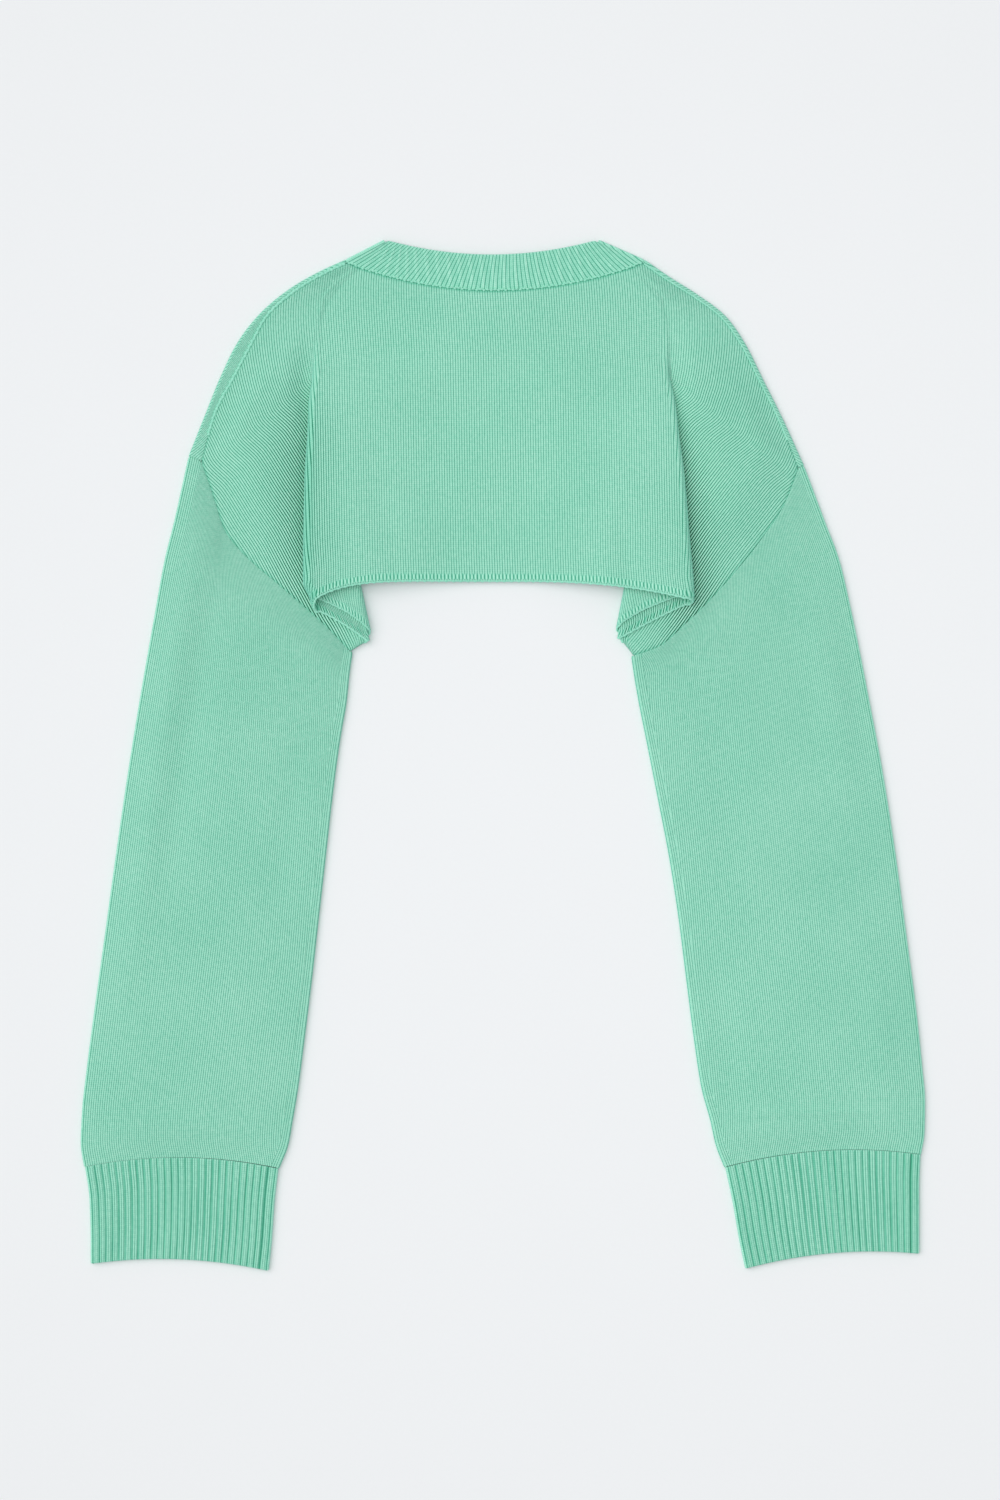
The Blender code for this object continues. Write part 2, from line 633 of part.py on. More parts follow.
def main():
    for thing in list(bpy.data.objects):
        bpy.data.objects.remove(thing, do_unlink=True)
    places, facings = whole_body()
    back_panel(places, facings)
    front_panel(places, facings)
    sleeve("left_sleeve", LEFT, LEFT_SLEEVE)
    sleeve("right_sleeve", RIGHT, RIGHT_SLEEVE)
    cuff("left_cuff", LEFT, LEFT_CUFF)
    cuff("right_cuff", RIGHT, RIGHT_CUFF)
    neckband()
    set_on_origin()


main()
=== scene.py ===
import math
import bpy
import numpy as np
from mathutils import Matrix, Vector


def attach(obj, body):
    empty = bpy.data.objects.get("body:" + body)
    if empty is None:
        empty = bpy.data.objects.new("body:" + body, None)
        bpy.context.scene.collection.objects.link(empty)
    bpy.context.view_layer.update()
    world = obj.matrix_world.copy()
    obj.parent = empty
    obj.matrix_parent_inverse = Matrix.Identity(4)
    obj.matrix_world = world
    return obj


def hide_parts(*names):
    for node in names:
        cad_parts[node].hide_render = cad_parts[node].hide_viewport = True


# A cropped long-sleeved knit sweater, laid flat on its front and seen from its back.
# Sizes are millimetres until a mesh is made, and x in the side values is the distance out from the middle.

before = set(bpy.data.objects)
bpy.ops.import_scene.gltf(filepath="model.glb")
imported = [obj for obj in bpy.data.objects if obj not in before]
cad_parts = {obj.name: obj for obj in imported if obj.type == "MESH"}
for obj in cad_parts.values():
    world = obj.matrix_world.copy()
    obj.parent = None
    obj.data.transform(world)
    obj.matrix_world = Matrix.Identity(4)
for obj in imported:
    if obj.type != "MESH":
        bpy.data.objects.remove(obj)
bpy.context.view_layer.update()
mm = 0.001

fabric = {
    "wall": 1.6,          # thickness of the knit
    "layerGap": 0.6,      # air between two layers
    "seamGap": 0.02,      # pieces touch along a seam, and each sinks a little towards it
    "rolledGap": 0.05,
    "freeLip": 0.8,       # how far in from a free edge the wall is full
    "sewnWeld": 0.88,     # where a sewn edge closes, as a share of the wall up to its outer face
    "waleWidth": 1.83,    # of one column of stitches on the body
    "sleeveWale": 1.62,
    "courseHeight": 1.5,  # of one row of stitches
}
pitch = fabric["wall"] + fabric["layerGap"]
inner = fabric["layerGap"] / 2        # from the middle of two layers to the near face of each
outer = inner + fabric["wall"]        # and to the far face
midway = (inner + outer) / 2
base = outer                          # height of the middle of the lowest pair of layers

# Rows of the body from hem to neck seam: how far up the two folds, where the row crosses the middle,
# how soon it levels out, the folds' turn in degrees and their radius
body = {
    "hidden": [0, .026, .111, .218, .315, .412, .531, .620, .706, .739, .773, .810, .851, .895, .944, 1],
    "shown": [0, .051, .103, .264, .412, .561, .741, .877, 1, 1, 1, 1, 1, 1, 1, 1],
    "middle": [124.9, 136, 147, 168.5, 192.5, 216.5, 245, 267, 288, 296, 303, 310, 316, 322, 328, 334],
    "bow": [4.4, 3.9, 3.4, 3, 2.6, 2.6, 2.6, 2.6, 2.6, 2.5, 2.4, 2.3, 2.2, 2.1, 2, 2],
    "turn": [180] * 6 + [154, 114, 68, 42, 25, 14, 7, 2, 0, 0],
    "radius": [pitch] * 8 + [3.4, 4.8, 6.2, 8, 9, 10, 10, 10],
    "shownRadius": [3.8, 3.7, 3.5, 3.2, 3, 3, 3, 3.1, 3.8, 5.2, 7, 9, 10, 10, 10, 10],
    "settle": 34, "settlePower": 1.5,   # how soon the back sinks onto the tuck behind the shown fold
    "underarm": 1, "tip": 8, "last": 15,   # rows at the top of the side seam, the shoulder tip and the neck
    "tipLean": -23,       # degrees, of the way the front rolls over at the shoulder tip
    "fullerUpTo": 6,      # the row where a shown fold's extra fullness at the hem has faded
    "hemShares": (1, 0.6, 0.25),   # of the hem's own bow, in the first rows
    "fadedTuck": 0.8,     # what is left of the tuck's width above the folds
    "slopeShare": 0.96, "leastShelf": 2, "shelfSpare": 1,
    "backLoft": 2.2,      # how far the middle of the back stands up
    "fineRows": 128, "sideLip": 0.02, "rollSteps": 6, "rollLip": 0.1,
    "foldSteps": 11, "sideSteps": 26, "tuckSteps": 12, "shelfSteps": 13, "slopeSteps": 16, "middleSteps": 30,
}
neck = {
    "x": -5.8, "halfWidth": 107, "y": 354.2, "backDrop": 20.2, "backSquareness": 2,
    "frontDrop": 80, "frontSquareness": 2.4,
    "edgeX": -8.3, "edgeHalfWidth": 76.5, "edgeY": 370.2, "edgeBackDrop": 10.6, "edgeFrontDrop": 74,
    "edgeSquareness": 2.2, "frontGap": 0.1,
    "crowdFrom": 0.7, "crowdPower": 1.4,   # the ribs crowd towards the top edge's ends
    "roundOff": 1.6, "roundFrom": 0.82, "roundOver": 0.18,   # and the edge rounds off there
}
leftSide = {
    "sign": -1,
    "seam": [(99.9, 80.6), (110, 74.2), (127, 92), (146.2, 109.1), (164, 124.5), (182.2, 140),
             (200.2, 161.6), (207.4, 183.2), (226.1, 214.9), (214.6, 243.7), (204, 270), (191.5, 295.6),
             (176, 316), (155, 334), (134, 346.5), (114.5, 355.7)],
    "wrap": [8, 6.7, 9.5, 9, 4, 2, 1.2, 1],
    "hiddenFold": [(97.7, 82), (138.5, 272), (138, 290), (134, 311), (129, 323),
                   (119, 336), (104, 351.1)],
    "shownFold": [(132.7, 107.6), (139.9, 125.6), (138.8, 183.2), (137.7, 226.4), (139.3, 272)],
    "mostBow": 4.4, "hemBow": 6.2, "fuller": 0.2,
    # the valley beside the shown fold: its opened wales carry painted shade, and edge is painted shade just
    # inside the fold
    "valley": {"top": 300, "full": 215, "deepest": 1.1, "width": 20,
               "even": 0.22, "edge": 0.26, "inside": 0.4},
    "loop": (5.4, 3.0, 1.0, 0),    # how far the hem spreads along y as it goes round the shown fold
    "swell": {"heights": (0.4, 2.4, 5.2, 6.4, 6.0, 3.8, 0.8, 0), "steepness": 8, "seamWidth": 40},
}
rightSide = {
    "sign": 1,
    "seam": [(86.8, 80.5), (94, 71.2), (112, 77.6), (131, 93.9), (149, 111.4), (167, 131.3),
             (185.5, 154.5), (202.5, 180.5), (216.5, 208), (200.2, 243.7), (187.5, 269), (174.2, 295.6),
             (160, 315.5), (139, 331.5), (120, 343.5), (103, 355.7)],
    "wrap": [2.5, 1.5, 1.2, 1.2, 1.2, 1.2, 1, 1],
    "hiddenFold": [(84, 83.9), (121.2, 272), (121, 290), (119, 311), (115, 323),
                   (106, 336), (92.4, 351.1)],
    "shownFold": [(132.7, 109.8), (133.2, 120.6), (131.3, 138.6), (129.1, 167.4), (126.2, 199.8),
                  (123.8, 226.4), (122, 272)],
    "mostBow": 2.5, "hemBow": 2.6, "fuller": 0.9,
    # the valley beside the shown fold: its opened wales carry painted shade, and edge is painted shade just
    # inside the fold
    "valley": {"top": 288, "full": 150, "deepest": 1.5, "width": 16,
               "even": 0.2, "edge": 0.08, "inside": 0.12},
    "loop": (2.2, 1.2, 0.4, 0),
    "swell": {"heights": (0.2, 0.8, 2.6, 4.6, 4.6, 2.2, 0.4, 0), "steepness": 15, "seamWidth": 36},
}
bothSides = ((leftSide, 0, 1), (rightSide, -1, -1))   # with the side's column, and the step from it inwards
tipLean = math.radians(body["tipLean"])
tipWay = np.array([-math.cos(tipLean), math.sin(tipLean)])


def unit(vectors):
    # each vector over its own length
    return vectors / np.linalg.norm(vectors, axis=-1, keepdims=True)


def ease(share):
    # 3 s^2 - 2 s^3: level at both ends
    share = np.clip(share, 0, 1)
    return share * share * (3 - 2 * share)


def inward(line):
    # across a line that runs up a side, towards the middle: its direction turned a quarter left
    along = unit(np.gradient(line, axis=0))
    return np.stack([-along[:, 1], along[:, 0]], axis=1)


def lying(points, height):
    # points of the plane put at a height
    return np.concatenate([points, np.broadcast_to(height, points.shape[:-1])[..., None]], axis=-1)


def upright(cross, angles):
    # minus sine of the angle along the cross direction, and its cosine upwards
    angles = np.broadcast_to(angles, cross.shape[:-1])
    return lying(-np.sin(angles)[..., None] * cross, np.cos(angles))


def arcRound(cross, angles):
    # upright for each row's cross direction, at every angle of an arc
    return upright(np.repeat(cross[:, None], angles.shape[-1], 1), angles)


def smoothRead(values, at, corners=()):
    # a cubic between each two rows; its slope at a row is the harmonic mean of the steps before and
    # after it, zero where they turn back, and broken at a corner
    values = np.asarray(values, float)
    steps = np.diff(values, axis=0)
    product = steps[:-1] * steps[1:]
    rising = product > 0
    slopes = np.where(rising, 2 * product / np.where(rising, steps[:-1] + steps[1:], 1), 0)
    leaving = np.concatenate([steps[:1], slopes, steps[-1:]])
    arriving = leaving.copy()
    for corner in corners:
        arriving[corner], leaving[corner] = steps[corner - 1], steps[corner]
    low = np.clip(np.floor(at).astype(int), 0, len(values) - 2)
    columns = np.arange(values.shape[1])
    t = (at - low)[..., None]
    return ((2 * t**3 - 3 * t**2 + 1) * values[low, columns] + (t**3 - 2 * t**2 + t) * leaving[low, columns]
            + (3 * t**2 - 2 * t**3) * values[low + 1, columns] + (t**3 - t**2) * arriving[low + 1, columns])


def smoothLine(points, at, corners=()):
    return smoothRead(np.asarray(points, float)[:, None], at[:, None], corners)[:, 0]


def pointOn(line, share):
    # the point at a share of a fold line's height
    line = np.array(line)
    y = line[0, 1] + np.asarray(share) * (line[-1, 1] - line[0, 1])
    return np.stack([np.interp(y, line[:, 1], line[:, 0]), y], axis=-1)


def evenly(line, count):
    # the line read again at equal steps of its own length
    lengths = np.append(0, np.cumsum(np.linalg.norm(np.diff(line, axis=0), axis=1)))
    at = np.linspace(0, lengths[-1], count)
    return np.stack([np.interp(at, lengths, line[:, k]) for k in range(line.shape[1])], axis=1)


def withLips(positions, *edges, reach=0.075):
    # more positions close to each edge, where the knit's wall rounds off
    near = reach * np.array([0, 0.05, 0.2, 0.5, 1.0, 1.6])
    extra = [edge + way * near for edge in edges for way in (-1, 1)]
    found = np.unique(np.round(np.concatenate([positions, *extra]), 5))
    return found[(found >= positions.min()) & (found <= positions.max())]


def alongGrid(points, axis):
    # running length of a grid's lines along one of its two axes
    steps = np.linalg.norm(np.diff(points, axis=axis), axis=-1)
    zero = np.zeros_like(np.take(steps, [0], axis=axis))
    return np.concatenate([zero, np.cumsum(steps, axis=axis)], axis=axis)


def lip(distance):
    # half the wall, as a quarter of an ellipse from nothing at a free edge to full at the lip's reach
    share = np.clip(distance / fabric["freeLip"], 0, 1)
    return fabric["wall"] / 2 * np.sqrt(1 - (1 - share) ** 2)


def weldShare(distance):
    # a free edge closes halfway through the wall, and a sewn one near its outer face
    return np.where(distance > 0, fabric["sewnWeld"], 0.5)


def bell(distance, height, width):
    # height * exp(-(distance / width)^2)
    return height * np.exp(-((distance / width) ** 2))


def band(distance, start, over, end, fade):
    # eased up from its start, and down again towards its end
    return ease((distance - start) / over) * ease((end - distance) / fade)


def softCreases(points, creases):
    # each crease is a bell across a straight line, times the sine of the share along it to the power 0.8
    total = np.zeros(points.shape[:-1])
    for x0, y0, x1, y1, width, height in creases:
        run = np.array([x1 - x0, y1 - y0])
        length = np.linalg.norm(run)
        off = points[..., :2] - (x0, y0)
        share = (off @ run) / length**2
        distance = (off[..., 0] * run[1] - off[..., 1] * run[0]) / length
        total += bell(distance, height, width) * np.sin(np.pi * np.clip(share, 0, 1)) ** 0.8
    return total


# Materials

wool = {
    "mint": (0.272, 0.726, 0.524),
    "rib": (0.292, 0.748, 0.546),
    # lighter than the wool: painted highlight along the rims, links and ridges
    "trimHighlit": (0.350, 0.790, 0.600),
    "richness": (2.2, 0.85, 1.15),   # how fast red, green and blue fall under painted shade, as light bounced inside wool would
    "paintedShadeStrength": 0.55,   # painted shade in a seam's groove and the neck's linking row, how much darker
    "ribShade": 0.36,      # painted shade in a rib's groove, how much darker
    "gapShade": 1.10,      # how much darker it is between stitches: painted shade, with the stitch pattern
    "ribContrast": 0.85,   # the ribs' share of that
    "evenGap": 0.297,      # the gap between stitches where the shade is 1
    "openedShade": 1.4,    # how many times more a gap between opened wales shows, as painted shade
    "openedGap": 0.1,      # and the gap there that changes nothing
    "leastShade": 0.05, "mottle": 0.10, "fibres": 0.15,
    "stitchDepth": 0.70,   # millimetres of bump
    "trimDepth": 0.3,      # the trims' share of that
    "bumpStrength": 0.8,
    "finish": {"Roughness": 0.9, "Specular IOR Level": 0.12, "Sheen Weight": 0.95,
               "Sheen Tint": (0.42, 1.0, 0.86, 1), "Sheen Roughness": 0.5},
}
stitchShape = {
    "lean": 0.55,          # how far a leg climbs from its foot in the middle to the side, in courses
    "legPower": 0.6, "wholePower": 0.5, "betweenPower": 1.6,
    "leg": 0.40, "whole": 0.66,   # shares of the height, from its legs and from the whole wale
    "loop": 0.55,                 # and of a leg's, from its rise and fall along the wale
    "bar": 0.95, "barPower": 0.7, "barPitch": 0.7,
}
# slow mottling from the dye, finer unevenness of the yarn, and fibres: scale, detail and share of the tone
mottling = ((14.0, 2.0, 0.7), (420.0, 2.0, 1.3), (2600.0, 3.0, 1.2))
traitNames = ("bars", "openedAndShaded", "paintedShade")   # what each wall's points tell its material: the hem's bars, opened wales with their painted shade, and painted shade in grooves


def newGroup(name, inputs, outputs):
    # a node group; an input is a number, or a vector where it has no value, and an output is a number
    group = bpy.data.node_groups.new(name, "ShaderNodeTree")
    for label, value in inputs.items():
        kind = "NodeSocketVector" if value is None else "NodeSocketFloat"
        socket = group.interface.new_socket(label, in_out="INPUT", socket_type=kind)
        if value is not None:
            socket.default_value = value
    for label in outputs:
        group.interface.new_socket(label, in_out="OUTPUT", socket_type="NodeSocketFloat")
    return group, group.nodes.new("NodeGroupInput").outputs, group.nodes.new("NodeGroupOutput").inputs


def plug(tree, socket, value):
    # a link from another socket, or a value of its own
    if isinstance(value, bpy.types.NodeSocket):
        tree.links.new(value, socket)
    else:
        socket.default_value = value


def calc(tree, operation, *values):
    # one Math node, as its output
    node = tree.nodes.new("ShaderNodeMath")
    node.operation = operation
    for socket, value in zip(node.inputs, values):
        plug(tree, socket, value)
    return node.outputs[0]


def wave(tree, value, pitch=1.0):
    # the sine of half a circle for each pitch of the value
    return calc(tree, "SINE", calc(tree, "MULTIPLY", value, math.pi * pitch))


def knitStitchGroup():
    # Two legs to a stitch, side by side: each is a sine across, and they lean apart upwards as a V.
    # leg = sine across^0.6 * (0.45 + 0.55 * sine along), height = 0.40 leg + 0.66 of the whole wale's
    # sine^0.5, gap = 1 - height; bars are sines of their own pitch
    shape = stitchShape
    group, given, made = newGroup("knitStitch", {"Wales": 0.0, "Courses": 0.0, "Lean": 0.0, "Bars": 0.0},
                                  ("Height", "Gap", "Between"))
    across = calc(group, "FRACT", given["Wales"])
    fromMiddle = calc(group, "MULTIPLY", calc(group, "ABSOLUTE", calc(group, "SUBTRACT", across, 0.5)), 2.0)
    leg = calc(group, "POWER", calc(group, "MAXIMUM", wave(group, fromMiddle), 0.0), shape["legPower"])
    whole = calc(group, "POWER", wave(group, across), shape["wholePower"])
    lean = calc(group, "MULTIPLY", fromMiddle, given["Lean"])
    along = calc(group, "FRACT", calc(group, "SUBTRACT", given["Courses"], lean))
    loop = calc(group, "MULTIPLY_ADD", wave(group, along), shape["loop"], 1 - shape["loop"])
    legs = calc(group, "MULTIPLY", calc(group, "MULTIPLY", leg, loop), shape["leg"])
    stitch = calc(group, "MULTIPLY_ADD", whole, shape["whole"], legs)
    bar = calc(group, "ABSOLUTE", wave(group, given["Wales"], shape["barPitch"]))
    bar = calc(group, "MULTIPLY", calc(group, "POWER", bar, shape["barPower"]), shape["bar"])
    height = calc(group, "ADD", calc(group, "MULTIPLY", stitch, calc(group, "SUBTRACT", 1.0, given["Bars"])),
                  calc(group, "MULTIPLY", bar, given["Bars"]))
    between = calc(group, "POWER", whole, shape["betweenPower"])
    plug(group, made["Height"], height)
    plug(group, made["Gap"], calc(group, "SUBTRACT", 1.0, height))
    plug(group, made["Between"], calc(group, "SUBTRACT", 1.0, between))
    return group


def woolToneGroup():
    # tone = 1 + 2 * amount * the sum of each noise about 0 times its share; fibres are the finest noise
    group, given, made = newGroup("woolTone", {"Vector": None, "Amount": 0.0}, ("Tone", "Fibres"))
    shares = []
    for scale, detail, share in mottling:
        noise = group.nodes.new("ShaderNodeTexNoise")
        for label, value in (("Scale", scale), ("Detail", detail), ("Vector", given["Vector"])):
            plug(group, noise.inputs[label], value)
        fibres = calc(group, "SUBTRACT", noise.outputs["Fac"], 0.5)
        shares.append(calc(group, "MULTIPLY", fibres, share))
    mixed = calc(group, "ADD", shares[0], calc(group, "ADD", shares[1], shares[2]))
    tone = calc(group, "MULTIPLY", mixed, calc(group, "MULTIPLY", given["Amount"], 2.0))
    plug(group, made["Tone"], calc(group, "ADD", tone, 1.0))
    plug(group, made["Fibres"], fibres)
    return group


knitStitch, woolTone = knitStitchGroup(), woolToneGroup()


def place(tree, group, **values):
    # a group put into a material, with its values
    node = tree.nodes.new("ShaderNodeGroup")
    node.node_tree = group
    for label, value in values.items():
        plug(tree, node.inputs[label], value)
    return node.outputs


def newMaterial(name, finish):
    # a material with the finish set on its shader's own sockets
    material = bpy.data.materials.new(name)
    material.use_nodes = True
    shader = material.node_tree.nodes["Principled BSDF"]
    for label, value in finish.items():
        shader.inputs[label].default_value = value
    return material, material.node_tree, shader


def knitMaterial(name, colour, depth, gapShade, paintedShadeStrength):
    # Painted shade: shade = 1 + gapShade * (the even gap - the gap), plus the darker gaps of opened wales,
    # times one less the painted shade of a groove, times the wool's tone. Where shade is painted the wool is
    # also richer,
    # as light bounced inside it would be: each channel is its colour * shade to a power.
    material, tree, shader = newMaterial(name, wool["finish"])
    uv = tree.nodes.new("ShaderNodeUVMap")
    uv.uv_map = "stitches"
    counted = tree.nodes.new("ShaderNodeSeparateXYZ")
    plug(tree, counted.inputs[0], uv.outputs["UV"])
    traits = {}
    for label in traitNames:
        trait = tree.nodes.new("ShaderNodeAttribute")
        trait.attribute_name = label
        traits[label] = trait.outputs["Fac"]
    stitch = place(tree, knitStitch, Wales=counted.outputs["X"], Courses=counted.outputs["Y"],
                   Lean=stitchShape["lean"], Bars=traits["bars"])
    tone = place(tree, woolTone, Vector=tree.nodes.new("ShaderNodeTexCoord").outputs["Object"],
                 Amount=wool["mottle"])
    # painted shade between the stitches
    shade = calc(tree, "MULTIPLY_ADD", calc(tree, "SUBTRACT", wool["evenGap"], stitch["Gap"]), gapShade, 1.0)
    # opened wales show more of their gaps, darker: painted shade in the folds' valleys, the tuck and the fold
    openedAndShaded = calc(tree, "SUBTRACT", wool["openedGap"], stitch["Between"])
    openedAndShaded = calc(tree, "MULTIPLY", openedAndShaded, gapShade * wool["openedShade"])
    shade = calc(tree, "MULTIPLY_ADD", openedAndShaded, traits["openedAndShaded"], shade)
    # painted shade in grooves
    shade = calc(tree, "MULTIPLY", shade, calc(tree, "MULTIPLY_ADD", traits["paintedShade"], -paintedShadeStrength, 1.0))
    shade = calc(tree, "MULTIPLY", calc(tree, "MAXIMUM", shade, wool["leastShade"]), tone["Tone"])
    tint = tree.nodes.new("ShaderNodeCombineXYZ")
    for socket, share, power in zip(tint.inputs, colour, wool["richness"]):
        plug(tree, socket, calc(tree, "MULTIPLY", calc(tree, "POWER", shade, power), share))
    plug(tree, shader.inputs["Base Color"], tint.outputs[0])
    bump = tree.nodes.new("ShaderNodeBump")
    bump.inputs["Strength"].default_value = wool["bumpStrength"]
    bump.inputs["Distance"].default_value = depth * mm
    height = calc(tree, "MULTIPLY_ADD", tone["Fibres"], wool["fibres"], stitch["Height"])
    plug(tree, bump.inputs["Height"], height)
    plug(tree, shader.inputs["Normal"], bump.outputs["Normal"])
    return material


mintKnit = knitMaterial("mintKnit", wool["mint"], wool["stitchDepth"], wool["gapShade"], wool["paintedShadeStrength"])
mintRib = knitMaterial("mintRib", wool["rib"], wool["stitchDepth"], wool["gapShade"] * wool["ribContrast"],
                       wool["ribShade"])
# the trims' lighter colour is a painted highlight on the raised rims, links and ridges
mintTrimHighlit = knitMaterial("mintTrimHighlit", wool["trimHighlit"], wool["stitchDepth"] * wool["trimDepth"], 0.0, 0.0)
print("materials ready")


# Walls of knit


def addPiece(name, mesh, material):
    # a finished mesh put into the scene at the origin; a face has two triangles fewer than corners
    mesh.validate()
    mesh.shade_smooth()
    mesh.materials.append(material)
    piece = bpy.data.objects.new(name, mesh)
    bpy.context.scene.collection.objects.link(piece)
    print(name, len(mesh.loops) - 2 * len(mesh.polygons), "triangles")
    return piece


def knitWall(name, far, near, stitches, material, traits, weld, ring=False, kept=None):
    # A grid of points for each face of the cloth. Along the grid's edges the two meet, at the weld's share
    # of the way from the near face to the far one. The stitches are counted once for the quads' left corners
    # and once for their right ones, so that a ring can close.
    rows, columns = far.shape[:2]
    size = rows * columns

    def atCorners(values, nextValues):
        left = values if ring else values[:, :-1]
        right = np.roll(nextValues, -1, axis=1) if ring else nextValues[:, 1:]
        return np.stack([left[:-1], right[:-1], right[1:], left[1:]], axis=2)

    index = np.arange(size).reshape(rows, columns)
    quads, corners = atCorners(index, index).reshape(-1, 4), atCorners(*stitches).reshape(-1, 4, 2)
    if kept is not None:
        quads, corners = quads[kept.reshape(-1)], corners[kept.reshape(-1)]
    # edges used once are free, and there the near face takes the far face's points
    ends = np.stack([quads, np.roll(quads, -1, axis=1)], axis=-1).reshape(-1, 2)
    key = np.sort(ends, axis=1) @ (size, 1)
    _, back, uses = np.unique(key, return_inverse=True, return_counts=True)
    free = np.zeros(size, bool)
    free[ends[uses[back] == 1].ravel()] = True
    nearIndex = np.where(free, np.arange(size), np.arange(size) + size)
    faces = np.concatenate([quads, nearIndex[quads[:, ::-1]]])
    corners = np.concatenate([corners, corners[:, ::-1]])
    far, near = far.reshape(-1, 3), near.reshape(-1, 3)
    weld = np.broadcast_to(weld, (rows, columns)).reshape(-1, 1)
    points = np.concatenate([np.where(free[:, None], far * weld + near * (1 - weld), far), near])
    # the sum of the faces' signed volumes is under zero where they point inwards, and then they are turned
    a, b, c, d = (points[faces[:, k]] for k in range(4))
    volume = np.einsum("ij,ij->", a, np.cross(b, c)) + np.einsum("ij,ij->", a, np.cross(c, d))
    if volume < 0:
        faces, corners = faces[:, ::-1], corners[:, ::-1]
    used, faces = np.unique(faces, return_inverse=True)
    faces = faces.reshape(-1, 4)
    mesh = bpy.data.meshes.new(name)
    mesh.vertices.add(len(used))
    mesh.vertices.foreach_set("co", (points[used] * mm).ravel())
    mesh.loops.add(faces.size)
    mesh.loops.foreach_set("vertex_index", faces.ravel().astype(np.int32))
    mesh.polygons.add(len(faces))
    mesh.polygons.foreach_set("loop_start", np.arange(0, faces.size, 4, dtype=np.int32))
    mesh.uv_layers.new(name="stitches").data.foreach_set("uv", corners.ravel())
    for label in traitNames:
        values = np.tile(np.broadcast_to(traits.get(label, 0.0), (rows, columns)).reshape(-1), 2)
        mesh.attributes.new(label, "FLOAT", "POINT").data.foreach_set("value", values[used])
    mesh.update(calc_edges=True)
    return addPiece(name, mesh, material)


# The doubled body


def shoulderEdge(side):
    # the seams, and above them a line just inside the shoulder's outline
    edge = np.array(side["seam"], float)
    outline = edge[body["tip"]:]
    edge[body["tip"]:] = outline + outer * inward(outline)
    edge[body["last"]] = (neck["halfWidth"] + side["sign"] * neck["x"], neck["y"])
    return edge


def wrapEnds(side, edge, folds):
    # which way, and how far, the front lies over the back past the shoulder's outline
    along = unit(folds[body["tip"]:] - edge[body["tip"]:])
    along[0] = tipWay
    return along, np.array(side["wrap"])[:, None]


sideShares = withLips(np.linspace(0, 1, body["sideSteps"] + 1)[:-1], 0, reach=body["sideLip"])
tuckShares = np.linspace(0, 1, body["tuckSteps"] + 2)[1:-1]
foldShares = np.linspace(0, 1, body["foldSteps"])
# where each column of a half lies: 0 to 1 at the side, 1 to 2 round the hidden fold, to 3 in the tuck, to 4
# round the shown fold, and 5 from there to the middle
columnPlace = np.concatenate([
    sideShares, 1 + foldShares, 2 + tuckShares, 3 + foldShares,
    np.full(body["shelfSteps"] + body["slopeSteps"] + body["middleSteps"] - 1, 5.0)])


